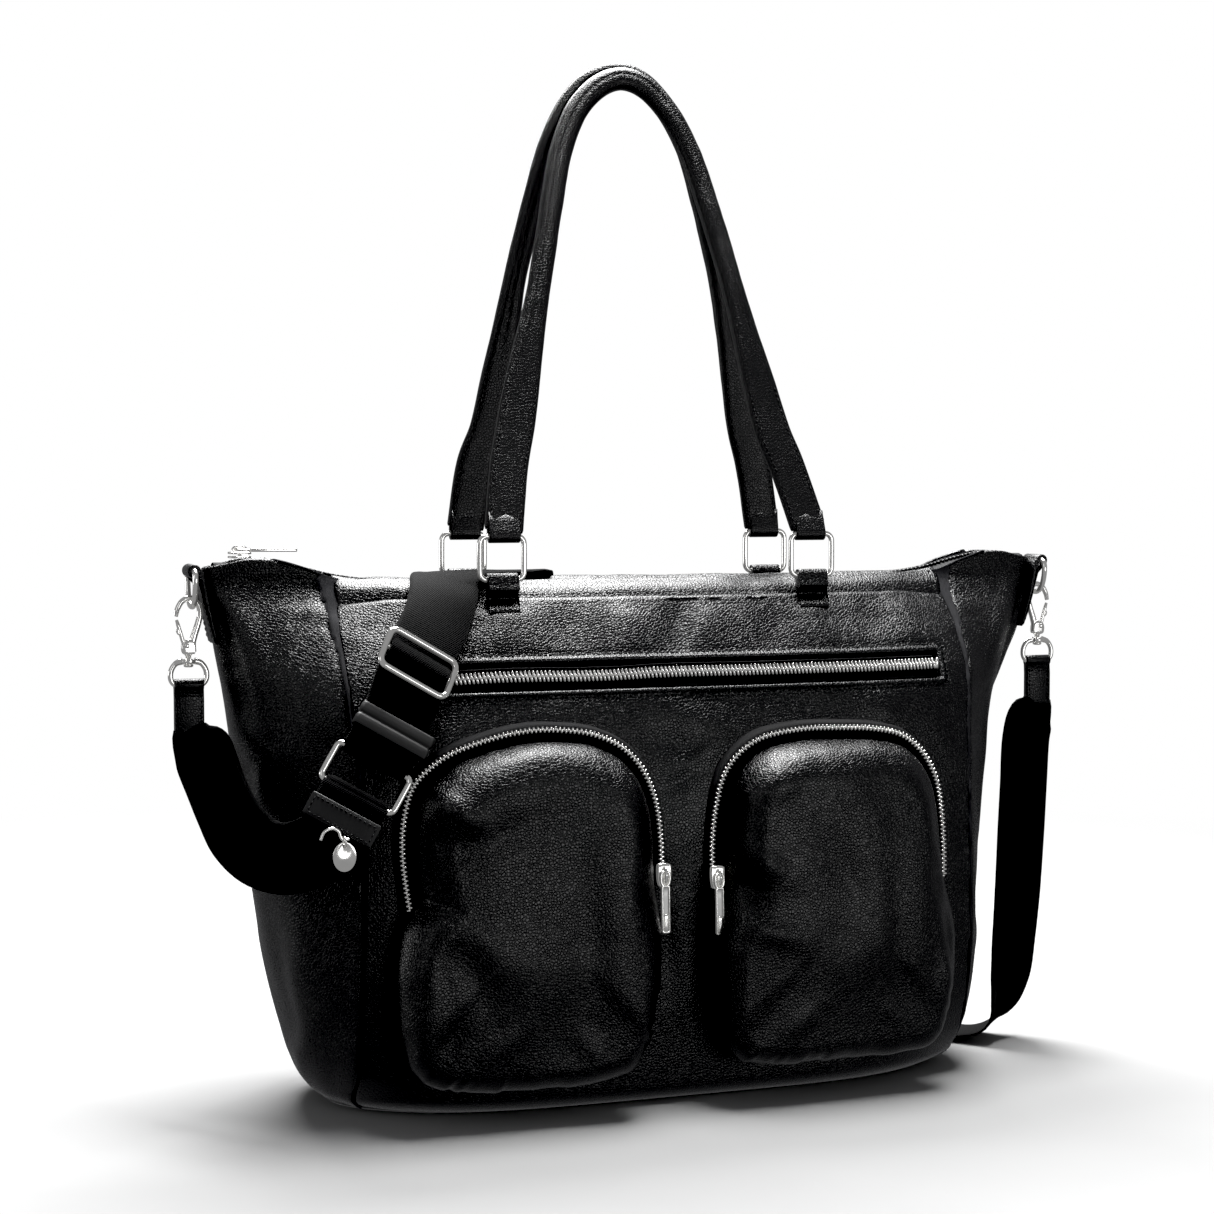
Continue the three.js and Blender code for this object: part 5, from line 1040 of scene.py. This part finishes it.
PLATE = metal_material("nickel_satin_plate", (0.30, 0.30, 0.295), 0.3, 0.06)
for side_name in ("left", "right"):
    d = POCKET[side_name]; M = d["M"]
    o, pv = (arr(-17.67, -82.7771, 129.7379), arr(-17.82528, -87.01521, 131.35257)) if side_name == "left" else (arr(14.1497, -82.5877, 126.7107), arr(14.29018, -86.83093, 128.3131))
    make_slider("pocket_slider_%s_body" % side_name, (o, M[1], M[2], M[3]), 8, 12, 3.2, "pocket_slider_" + side_name, "pocket_slider_" + side_name)
    make_pull("pocket_pull_%s_bar" % side_name, (pv, M[1], M[2], M[3]), 4.9, 33, 1.6, "pocket_pull_" + side_name, "pocket_pull_" + side_name)
make_slider("front_slider_body", (arr(-150, -61.6, 239), arr(0, 0, -1), arr(-1, 0, 0), arr(0, -1, 0)), 8.4, 11.5, 3.2, "front_slider", "front_slider")
ca, sa = math.cos(0.24), math.sin(0.24)
make_pull("front_pull_bar", (arr(-149.6, -67.8, 239), arr(1, 0, 0), arr(0, sa, ca), arr(0, -ca, sa)), 6.4, 23.6, 1.3, "front_pull", "front_pull", True)
tt = arr(0.99995, 0, -0.010218); tn = arr(0.010218, 0, 0.99995)
make_slider("top_slider_body", (arr(-234, 0, 303.673), arr(0, 1, 0), -tt, tn), 8.4, 11.5, 3.4, "top_slider", "top_slider")
make_pull("top_pull_bar", (arr(-235.45, 0, 308.17), arr(0, 1, 0), -tt, tn), 6.6, 33, 1.4, "top_pull", "top_pull")

# ============================================================== handles
HANDLES = {-1: [(-94.2, 3), (-88.3, 40), (-83.2, 61), (-75.1, 95), (-61, 150), (-50.5, 196), (-42, 228), (-30.5, 252), (-16, 267), (-1.5, 272.5), (12.5, 268), (26, 253), (37, 230), (45.5, 198), (56, 150), (66.5, 95), (73.5, 61), (80.6, 40), (90.2, 4.3)],
           1: [(-94.1, 3), (-88.0, 40), (-79.8, 61), (-73.2, 95), (-62.8, 150), (-50.8, 196), (-40.8, 228), (-29, 251), (-15.5, 265), (-0.5, 270), (14.5, 266), (30, 252), (44, 229), (54, 198), (65.5, 150), (76.3, 95), (82.3, 61), (87.5, 40), (93.3, 3)]}
RING_Y, RING_Z, RING_X = 37.5, 291.3, 95.5
def ring_x(side, lr):
    return lr * RING_X - (3.5 if side < 0 and lr > 0 else 0)
def make_handle(side):
    lean = 13.588 * math.pi / 180 if side < 0 else 0.006
    M = (arr(0, side * RING_Y, RING_Z + 24), arr(1, 0, 0), arr(0, math.sin(lean), math.cos(lean)), arr(0, -math.cos(lean), math.sin(lean)))
    C = spline(np.array([(x, y, 0.0) for x, y in HANDLES[side]]), 420)
    d = unit(np.gradient(C, axis=0)); e = np.stack([-d[:, 1], d[:, 0], 0 * d[:, 0]], -1)
    s = np.concatenate([[0], np.cumsum(np.linalg.norm(np.diff(C, axis=0), axis=1))])
    m = np.minimum(s, s[-1] - s)
    k = smooth01((m - 58) / 95)
    w = 22 + (13.4 - 22) * k
    th = 4.4 + (9.4 - 4.4) * k
    n = 44
    a = np.arange(n) / n * 2 * np.pi
    rings = np.zeros((len(C), n, 3))
    # flat strap: superellipse of high order; rolled above: nearly round
    for i in range(len(C)):
        pw = 2 / (4.2 - 1.9 * k[i])
        x = np.sign(np.cos(a)) * np.abs(np.cos(a)) ** pw * w[i] / 2
        z = np.sign(np.sin(a)) * np.abs(np.sin(a)) ** pw * th[i] / 2
        # seam down the face, a little off the middle, and raised stitched edges on the flat part
        seam = 0.12 * w[i] * (1 if side < 0 else 1)
        face = (z > 0)
        z = z - face * (0.95 * np.exp(-((x - seam) / (0.55 + 0.25 * (1 - k[i]))) ** 2)) * (0.6 + 0.4 * k[i])
        z = z + (1 - k[i]) * np.sign(z) * 0.35 * np.exp(-((np.abs(x) - w[i] * 0.30) / (w[i] * 0.16)) ** 2)
        rings[i] = C[i] + e[i] * x[:, None] + arr(0, 0, 1) * z[:, None]
    # creases across the inside of the bends and light waves along the length
    wob = 0.22 * noise(s[:, None] / 15, a[None] * 0.8 + 3, seed=90 + side) + 0.1 * noise(s[:, None] / 6, a[None] * 1.2, seed=91)
    rings += (e[:, None] * np.cos(a)[None, :, None] + arr(0, 0, 1) * np.sin(a)[None, :, None]) * (wob * (0.35 + 0.65 * k[:, None]))[..., None]
    # cut ends
    rings[0] = rings[0] * 0.0 + C[0] + (rings[0] - C[0]) * 0.96
    rings[-1] = C[-1] + (rings[-1] - C[-1]) * 0.96
    name = "front" if side < 0 else "back"
    p = Piece("handle_%s_strap" % name)
    tube(p, at(M, rings))
    # stitches along both edges of the flat parts
    for edge in (-0.39, 0.39):
        for sel in (m < 88) & (s < s[-1] / 2), (m < 88) & (s > s[-1] / 2):
            q = C[sel] + e[sel] * (edge * w[sel])[:, None] + arr(0, 0, 1) * (th[sel] / 2)[:, None]
            stitches(p, at(M, q[2:-1]), np.broadcast_to(M[3], q[2:-1].shape), 3.3, 2.3, 0.25, 1)
    # chape through each ring
    for sg in (-1, 1):
        pts = [(3.7 * math.cos(b), 3.7 * math.sin(b)) for b in np.radians([-60, -90, -120, -150, 180, 150, 120, 100])]
        outer = [(2.0, 13.5), (2.6, 8), (3.35, 3.5), (3.75, 0)] + [(3.75 * math.cos(b), 3.75 * math.sin(b)) for b in np.radians(np.arange(-20, -171, -15))] + [(-3.75, 0), (-3.35, 3.5), (-2.6, 8), (-2.0, 13.5)]
        inner_ = [(-0.25, 13.5), (-0.6, 8), (-1.3, 4.2), (-1.9, 0)] + [(1.9 * math.cos(b), 1.9 * math.sin(b)) for b in np.radians(np.arange(-170, -9, 16))] + [(1.9, 0), (1.3, 4.2), (0.6, 8), (0.25, 13.5)]
        prof = np.array(outer + inner_)
        xr = np.concatenate([[-8.7, -8.45, -8.1], np.linspace(-7, 7, 7), [8.1, 8.45, 8.7]])
        R = []
        for x in xr:
            sh = 0.35 if abs(x) > 8.6 else (0.12 if abs(x) > 8.3 else 0.0)
            cc = prof.mean(0)
            q = prof * (1 - sh * 0.06)
            R.append(np.stack([np.full(len(prof), ring_x(side, sg) - sg * 1.2 + x), q[:, 1], q[:, 0]], -1))
        tube(p, at(M, np.array(R)), 0)
    ob = p.make([SMOOTH, THREAD], "%s_handle" % name, "handle_" + name, "leather")
    return ob
make_handle(-1); make_handle(1)

def make_ring(side, lr):
    x = ring_x(side, lr)
    p = Piece("handle_ring_%s_%s" % ("front" if side < 0 else "back", "left" if lr < 0 else "right"))
    rr = round_rect(25.6, 24, 4.2, 8)
    pts = np.stack([x + rr[:, 0], np.full(len(rr), side * RING_Y), RING_Z + 12 + rr[:, 1]], -1)
    wire(p, pts, 1.55, (0, 1, 0), True, 200, 16)
    n = "front" if side < 0 else "back"
    return p.make([METAL], n + "_rings", "ring_%s_%s" % (n, "left" if lr < 0 else "right"), "steel")

def make_tab(side, lr):
    """Chape round the ring's lower bar; its tail is sewn down over the band and seam."""
    x0 = ring_x(side, lr)
    n = "front" if side < 0 else "back"; m = "left" if lr < 0 else "right"
    P_, N_ = (FP, FN) if side < 0 else (BP, BN)
    tail = []
    for z in (280.6, 278.6, 276.6, 274.6, 273.4):
        tail.append((abs(float(on_grid(P_, N_, US, TS, x0 / SEAM_X(z), min(z, 280.8))[0][1])), z))
    b = RING_Y
    y1, z1 = tail[0]
    outer = [(tail[-1][0] + 0.9, tail[-1][1])] + [(y + 2.0, z) for y, z in tail[::-1][1:]] + [(y1 + 2.1, 281.6), (b + 5.2, RING_Z - 5.4), (b + 4.2, RING_Z - 2.4)] + [(b + 3.7 * math.cos(a), RING_Z + 3.7 * math.sin(a)) for a in np.radians(np.arange(0, 181, 15))] + [(b - 3.4, RING_Z - 2.2), (b - 1.4, RING_Z - 5.6)]
    inner = [(y1 - 0.3, 281.0)] + [(y - 0.2, z) for y, z in tail[1:]]
    prof = spline(np.array([(a, c, 0) for a, c in outer]), 60)[:, :2]
    prof = np.concatenate([prof, spline(np.array([(a, c, 0) for a, c in inner]), 12)[:, :2]])
    hole = np.array([(b + 1.75 * math.cos(a), RING_Z + 1.75 * math.sin(a)) for a in np.linspace(0, 2 * np.pi, 24, endpoint=False)])
    p = Piece("ring_tab_%s_%s_leather" % (n, m))
    xr = [-9.0, -8.85, -8.4, -6, -2, 2, 6, 8.4, 8.85, 9.0]
    R = []
    cc = prof.mean(0)
    for x in xr:
        k = 0.5 if abs(x) > 8.9 else (0.15 if abs(x) > 8.6 else 0)
        e = unit(np.roll(prof, -1, 0) - np.roll(prof, 1, 0)); nn = np.stack([e[:, 1], -e[:, 0]], -1)
        if np.sum(nn * (prof - cc)) < 0: nn = -nn
        q = prof - nn * k
        R.append(np.stack([np.full(len(q), x0 + x), side * q[:, 0], q[:, 1]], -1))
    tube(p, np.array(R), 0)
    # stitched rectangle on the tail under the seam
    q = [(-7.2, 280.0), (-7.2, 275.2), (7.2, 275.2), (7.2, 280.0)]
    for (xa, za), (xb, zb) in zip(q[:-1], q[1:]):
        kx, kz = np.linspace(xa, xb, 16), np.linspace(za, zb, 16)
        yy = np.interp(kz, [t[1] for t in tail[::-1]], [t[0] for t in tail[::-1]]) + 2.05
        stitches(p, np.stack([x0 + kx, side * yy, kz], -1), np.broadcast_to(arr(0, side, 0.15), (16, 3)), 2.6, 1.9, 0.25, 1)
    return p.make([LEATHER, THREAD], "bag", "ring_tab_%s_%s" % (n, m), "leather")

for sd in (-1, 1):
    for lr in (-1, 1):
        make_ring(sd, lr); make_tab(sd, lr)

# ============================================================== side hardware
HX, LOOP_Z = 262.6, 235.0
def prism(piece, prof, xs, place, mat=0, soft=0.35):
    """Extrude a closed outline along one axis with eased ends."""
    prof = np.asarray(prof, float)
    e = unit(np.roll(prof, -1, 0) - np.roll(prof, 1, 0)); nn = np.stack([e[:, 1], -e[:, 0]], -1)
    if np.sum(nn * (prof - prof.mean(0))) < 0: nn = -nn
    a, b = xs
    st = [(a, soft), (a + soft * 0.3, soft * 0.35), (a + soft, 0), (b - soft, 0), (b - soft * 0.3, soft * 0.35), (b, soft)]
    R = np.array([[place(x, q[0], q[1]) for q in prof - nn * k] for x, k in st])
    return tube(piece, R, mat)

for side, nm in ((-1, "left"), (1, "right")):
    X = side * HX
    at_ = lambda x, z, y=0.0: arr(side * (HX + x), y, z)
    # D ring
    p = Piece("d_ring_%s_wire" % nm)
    pts = [(-9.5, 297), (0, 297), (9.5, 297), (11.6, 294.6), (11.4, 288), (8.6, 281.4), (4.4, 278.2), (0, 277.6), (-4.4, 278.2), (-8.6, 281.4), (-11.4, 288), (-11.6, 294.6)]
    wire(p, np.array([(side * 260.5, y, z) for y, z in pts]), 1.6, (1, 0, 0), True, 120, 16)
    p.make([METAL], "d_ring_" + nm, "d_ring_" + nm, "steel")
    # trigger hook
    p = Piece("hook_%s_body" % nm)
    bow = np.array([at_(-2.2, 253), at_(-2.1, 257.5), at_(-3.0, 261), at_(-5.3, 268), at_(-6.5, 273.2), at_(-5.7, 278.4), at_(-1.6, 282.2), at_(3, 280.7), at_(5.8, 276.2), at_(6.7, 272.3)])
    rad = np.interp(np.linspace(0, 1, 90), [0, 0.2, 0.6, 0.9, 1], [2.2, 1.9, 1.6, 1.5, 1.2])
    wire(p, bow, rad, (0, 1, 0), False, 90, 16)
    # block: rounded barrel with a slot on the gate's side
    for yy in (-1.95, 1.95):
        slab(p, spline(np.array([(-3.2, 252.2, 0), (-3.1, 257, 0), (-1.6, 259.6, 0), (1.4, 259.2, 0), (3.3, 257.2, 0), (3.4, 253, 0), (2.4, 251.6, 0), (-2.4, 251.6, 0)]), 40, True)[:, :2], 1.5, (arr(X, yy, 0), arr(side, 0, 0), arr(0, 0, 1), arr(0, 1, 0)), 0.4)
    slab(p, round_rect(6.2, 3.2, 0.7), 4.6, (arr(X, 0, 253.4), arr(1, 0, 0), arr(0, 0, 1), arr(0, 1, 0)), 0.4)
    aa = np.arange(24) / 24 * 2 * np.pi
    disc = lambda r, z: np.stack([X + r * np.cos(aa), r * np.sin(aa), np.full(24, z)], -1)
    tube(p, np.array([disc(2.6, 252), disc(2.0, 251.2), disc(1.5, 250.4), disc(1.5, 246.4), disc(2.4, 246.2), disc(2.7, 245.8), disc(2.6, 245.0), disc(2.0, 244.6)]))
    rv = lambda r, y: np.stack([at_(1.2, 256.4)[0] + r * np.cos(aa), np.full(24, y), 256.4 + r * np.sin(aa)], -1)
    tube(p, np.array([rv(1.3, -2.6), rv(1.45, -3.0), rv(1.1, -3.4), rv(0.4, -3.5)]))
    p.make([METAL], "hook_" + nm, "hook_" + nm, "steel", sharp=60)
    # gate
    p = Piece("hook_gate_%s_lever" % nm)
    g = np.array([at_(2.2, 256.6), at_(3.3, 260), at_(4.9, 265.6), at_(6.3, 270.4)])
    wire(p, g, np.interp(np.linspace(0, 1, 30), [0, 0.8, 1], [1.15, 1.05, 0.8]), (0, 1, 0), False, 30, 14)
    slab(p, spline(np.array([(3.4, 262.6, 0), (5.4, 262.2, 0), (6.6, 264.4, 0), (5.6, 266, 0), (4.4, 265.6, 0)]), 24, True)[:, :2], 1.8, (arr(X, 0, 0), arr(side, 0, 0), arr(0, 0, 1), arr(0, 1, 0)), 0.4)
    p.make([METAL], "hook_gate_" + nm, "hook_gate_" + nm, "steel", sharp=60)
    # swivel eye
    p = Piece("swivel_loop_%s_wire" % nm)
    lp = np.array([at_(3.1, 248), at_(7, 246.6), at_(9.6, 242.4), at_(9.5, 237.6), at_(7.2, 235), at_(0, 235), at_(-7.2, 235), at_(-9.5, 237.6), at_(-9.6, 242.4), at_(-7, 246.6), at_(-3.1, 248)])
    wire(p, lp, np.interp(np.linspace(0, 1, 120), [0, 0.1, 0.5, 0.9, 1], [1.9, 1.5, 1.45, 1.5, 1.9]), (0, 1, 0), False, 120, 14)
    ring_o = np.stack([4.1 * np.cos(aa), 4.1 * np.sin(aa)], -1); ring_i = np.stack([1.85 * np.cos(aa), 1.85 * np.sin(aa)], -1)
    slab(p, ring_o, 2.2, (arr(X, 0, 247.7), arr(1, 0, 0), arr(0, 1, 0), arr(0, 0, 1)), 0.5, 0, ring_i)
    p.make([METAL], "hook_" + nm, "swivel_loop_" + nm, "steel", sharp=60)
    # chape that joins webbing to swivel
    p = Piece("chape_%s_leather" % nm)
    prof = [(2.2, -2.4), (2.7, -8), (2.7, -25.6), (2.3, -27.2), (-1.6, -27.2), (-2.0, -25.6), (-2.0, -8), (-2.4, -2.4)]
    top = [(3.3 * math.cos(b), 3.3 * math.sin(b)) for b in np.radians(np.arange(210, -31, -20))]
    prism(p, [(b, a) for a, b in (prof + top)] if False else prof + top, (-8.0, 8.0), lambda x, a, b: arr(X + x, -a, LOOP_Z + b), 0, 0.4)
    for xx in (-6.4, 6.4):
        zz_ = np.linspace(LOOP_Z - 25, LOOP_Z - 5, 14)
        stitches(p, np.stack([np.full(14, X + xx), np.full(14, -2.75), zz_], -1), np.broadcast_to(arr(0, -1, 0), (14, 3)), 2.8, 2.0, 0.26, 1)
    for zq in (LOOP_Z - 25, LOOP_Z - 6):
        xq = np.linspace(X - 6.2, X + 6.2, 8)
        stitches(p, np.stack([xq, np.full(8, -2.75), np.full(8, zq)], -1), np.broadcast_to(arr(0, -1, 0), (8, 3)), 2.6, 1.9, 0.26, 1)
    p.make([SMOOTH, THREAD], "hook_" + nm, "chape_" + nm, "leather")
    # side tab: strap of leather over the D ring's bar, sewn down the wing
    p = Piece("side_tab_%s_leather" % nm)
    tab_g = FOLD_L if side < 0 else FOLD_R
    f = lambda z: float(tab_g(z)) + 0.2
    o_ = [(f(257) + 0.6, 257), (f(258) + 2.1, 258.2), (f(266) + 2.3, 266), (f(276) + 2.4, 276), (f(286) + 2.5, 286), (f(291) + 2.6, 291.4)] + [(260.5 + 3.7 * math.cos(b), 297 + 3.7 * math.sin(b)) for b in np.radians(np.arange(-70, 181, 16))] + [(f(297) + 0.2, 296.6), (f(290), 290), (f(276), 276), (f(262), 262)]
    prism(p, o_, (-9, 9), lambda y, a, b: arr(side * a, y, b), 0, 0.4)
    for yy in (-7.3, 7.3):
        zz_ = np.linspace(260, 288, 16)
        stitches(p, np.stack([side * (np.array([f(z) for z in zz_]) + 2.55), np.full(16, yy), zz_], -1), np.broadcast_to(arr(side, 0, 0), (16, 3)), 2.9, 2.1, 0.26, 1)
    p.make([SMOOTH, THREAD], "bag", "side_tab_" + nm, "leather")

# ============================================================== pieces on the strap
def flat_frame(o, w, t):
    W = unit(w); T = unit(np.asarray(t, float) - W * (np.asarray(t, float) @ W)); Nn = np.cross(W, T)
    if Nn[1] > 0:
        return (np.asarray(o, float), W, -T, -Nn)
    return (np.asarray(o, float), W, T, Nn)

def long_at(p):
    i = int(np.argmin(np.linalg.norm(Cl - np.asarray(p, float), axis=1)))
    return Cl[i], al[i], dl[i]

# end patch with the stitched box
M_end = flat_frame(eye(-26, 0, 5.4), EYE_W, EYE_T)
p = Piece("strap_end_patch")
slab(p, round_rect(40.4, 13, 1.2, 4), 2.4, M_end, 0.55)
for yy in (-4.6, 4.6):
    xq = np.linspace(-18, 18, 20)
    stitches(p, at(M_end, np.stack([xq, np.full(20, yy), np.full(20, 1.25)], -1)), np.broadcast_to(M_end[3], (20, 3)), 2.7, 2.0, 0.26, 1)
for xx in (-18, 18):
    yq = np.linspace(-4.4, 4.4, 8)
    stitches(p, at(M_end, np.stack([np.full(8, xx), yq, np.full(8, 1.25)], -1)), np.broadcast_to(M_end[3], (8, 3)), 2.7, 2.0, 0.26, 1)
strap_end = p.make([EDGE, THREAD], "bag", "strap_end", "leather")

# keeper: two padded bands side by side
ko, ka, kd = long_at((-169.7, -84.5, 215.1))
M_k = flat_frame(ko, ka, kd)
p = Piece("strap_keeper_loop")
sec_o = round_rect(43.4, 7.0, 2.0, 6)
yv = np.linspace(-6.6, 6.6, 27)
rings_o = []
for y in yv:
    gro = 0.75 * np.exp(-(y / 0.8) ** 2) + 0.35 * np.exp(-((np.abs(y) - 6.6) / 0.7) ** 2) - 0.25 * np.exp(-((np.abs(y) - 3.2) / 1.7) ** 2)
    q = sec_o - unit(sec_o * arr(0.25, 1)) * gro
    rings_o.append(np.stack([q[:, 0], np.full(len(q), y), q[:, 1]], -1))
sec_i = round_rect(40.6, 4.6, 1.0, 6)
rings_i = [np.stack([sec_i[:, 0], np.full(len(sec_i), y), sec_i[:, 1]], -1) for y in (6.4, -6.4)]
tube(p, at(M_k, np.array(rings_o + rings_i)), 0, True)
keeper = p.make([EDGE], "bag", "strap_keeper", "leather")

# slide with its middle bar
so, sa_, sd_ = long_at((-154.7, -73, 248.7))
M_s = flat_frame(so, sa_, sd_)
p = Piece("slide_buckle_frame")
rr = round_rect(41.4, 22.4, 4.6, 9)
wire(p, at(M_s, np.concatenate([rr, np.full((len(rr), 1), 3.6)], 1)), 1.75, M_s[3], True, 220, 16, 0, 1.0)
wire(p, at(M_s, np.array([(-20.5, 0, 3.2), (-8, 0, 2.9), (8, 0, 2.9), (20.5, 0, 3.2)])), 1.3, M_s[3], False, 40, 12)
slide = p.make([METAL], "bag", "slide_buckle", "steel")

p = Piece("strap_loop_ring_wire")
rr = round_rect(42.8, 21.2, 3.0, 8)
M_r = flat_frame(EYE_O, EYE_W, EYE_T)
wire(p, at(M_r, np.concatenate([rr, np.zeros((len(rr), 1))], 1)), 1.55, M_r[3], True, 220, 16)
loop_ring = p.make([METAL], "bag", "strap_loop_ring", "steel")

# charm: open hook, a link and a plain oval disc
CH = arr(-207, -102.5, 164)
p = Piece("charm_hook_wire")
hk = np.array([(-7, -2.5), (-5, 1.6), (-0.8, 3.4), (2.6, 1.6), (3.4, -0.8), (4.6, -2.6), (8, -2.6)])
wire(p, np.stack([hk[:, 0], 0 * hk[:, 0], hk[:, 1]], -1) + CH, 0.85, (0, 1, 0), False, 70, 12)
charm_hook = p.make([METAL], "bag", "charm_hook", "steel")
p = Piece("charm_link_wire")
a = np.arange(16) / 16 * 2 * np.pi
wire(p, np.stack([np.full(16, 5.6), 2.6 * np.cos(a), 2.6 * np.sin(a) - 3.7], -1) + CH, 0.55, (1, 0, 0), True, 60, 10)
charm_link = p.make([METAL], "charm", "charm_link", "steel")
p = Piece("charm_disc_blank")
b = np.arange(48) / 48 * 2 * np.pi
outl = np.stack([6.2 * np.cos(b), 7.8 * np.sin(b) - 5.9], -1)
M_c = (CH + arr(5.6, 0, -5.8), arr(1, 0, 0), arr(0, 0, 1), arr(0, -1, 0))
slab(p, outl, 1.1, M_c, 0.3, 0, np.stack([1.15 * np.cos(b), 1.15 * np.sin(b)], -1))
charm_disc = p.make([METAL], "charm", "charm_disc", "steel", sharp=50)

# ============================================================== room
def light(name, loc, target, size, size_y, power, colour=(1, 1, 1)):
    L = bpy.data.lights.new(name, "AREA"); L.shape = "RECTANGLE"; L.size = size; L.size_y = size_y; L.energy = power; L.color = colour
    o = bpy.data.objects.new(name, L); scene.collection.objects.link(o)
    o.location = loc
    o.rotation_euler = (Vector(target) - Vector(loc)).to_track_quat("-Z", "Y").to_euler()
    o.visible_camera = False
    return o
world = bpy.data.worlds.new("room"); scene.world = world
world.use_nodes = True
wt = world.node_tree; wt.nodes.clear()
wo = wt.nodes.new("ShaderNodeOutputWorld"); bg1 = wt.nodes.new("ShaderNodeBackground"); bg2 = wt.nodes.new("ShaderNodeBackground"); mx = wt.nodes.new("ShaderNodeMixShader"); lp_ = wt.nodes.new("ShaderNodeLightPath")
bg1.inputs[0].default_value = (0.98, 0.98, 1.0, 1); bg1.inputs[1].default_value = 0.24
bg2.inputs[0].default_value = (1, 1, 1, 1); bg2.inputs[1].default_value = 1.0
wt.links.new(lp_.outputs["Is Camera Ray"], mx.inputs[0]); wt.links.new(bg1.outputs[0], mx.inputs[1]); wt.links.new(bg2.outputs[0], mx.inputs[2]); wt.links.new(mx.outputs[0], wo.inputs[0])
light("overhead", (0.20, 0.05, 1.70), (0.04, -0.05, 0.2), 0.7, 0.6, 60)
light("front_left", (-1.75, -1.25, 0.95), (-0.05, 0, 0.2), 0.5, 1.0, 2.6)
light("front_low", (0.75, -2.2, 0.14), (0.05, 0, 0.08), 1.3, 0.45, 8.0)
light("low_left", (-2.0, 0.9, 0.35), (-0.2, 0, 0.1), 0.8, 0.5, 5.0)
light("behind", (0.1, 1.0, 1.7), (0, 0, 0.1), 1.2, 0.8, 84)

fm = Nodes("floor_paper")
tc = fm.n("TexCoord").outputs["Object"]
dist_ = fm.n("VectorMath", {0: tc}, operation="LENGTH").outputs["Value"]
fade = fm.ramp(fm.math("DIVIDE", dist_, 2.0), [(0.34, 0.0), (0.62, 1.0)])
em = fm.n("Emission", {"Color": (1, 1, 1, 1), "Strength": 1.0})
nz = fm.n("TexNoise", {"Vector": tc, "Scale": 8.0, "Detail": 3.0})
dif = fm.n("BsdfDiffuse", {"Color": fm.ramp(nz.outputs[0], [(0.3, 0.97), (0.7, 1.0)])})
gain = fm.n("VectorMath", {0: dif.inputs[0].links[0].from_socket, 1: (0.32, 0.32, 0.32)}, operation="MULTIPLY")
fm.set(dif, "Color", gain.outputs[0])
mixf = fm.n("MixShader"); fm.set(mixf, 0, fade); fm.t.links.new(dif.outputs[0], mixf.inputs[1]); fm.t.links.new(em.outputs[0], mixf.inputs[2])
fm.t.links.new(mixf.outputs[0], fm.out.inputs[0])
fme = bpy.data.meshes.new("floor")
fme.from_pydata([(-8, -8, -0.0006), (8, -8, -0.0006), (8, 8, -0.0006), (-8, 8, -0.0006)], [], [(0, 1, 2, 3)])
fme.materials.append(fm.mat)
floor = bpy.data.objects.new("floor", fme); scene.collection.objects.link(floor)
floor.visible_glossy = False
floor.visible_diffuse = False

scene.view_settings.view_transform = "Standard"
scene.view_settings.look = "None"
scene.view_settings.exposure = 0.0
scene.view_settings.gamma = 1.0
scene.view_settings.use_curve_mapping = True
cm_ = scene.view_settings.curve_mapping
cm_.black_level = (0.0115, 0.0115, 0.0115)
cm_.update()
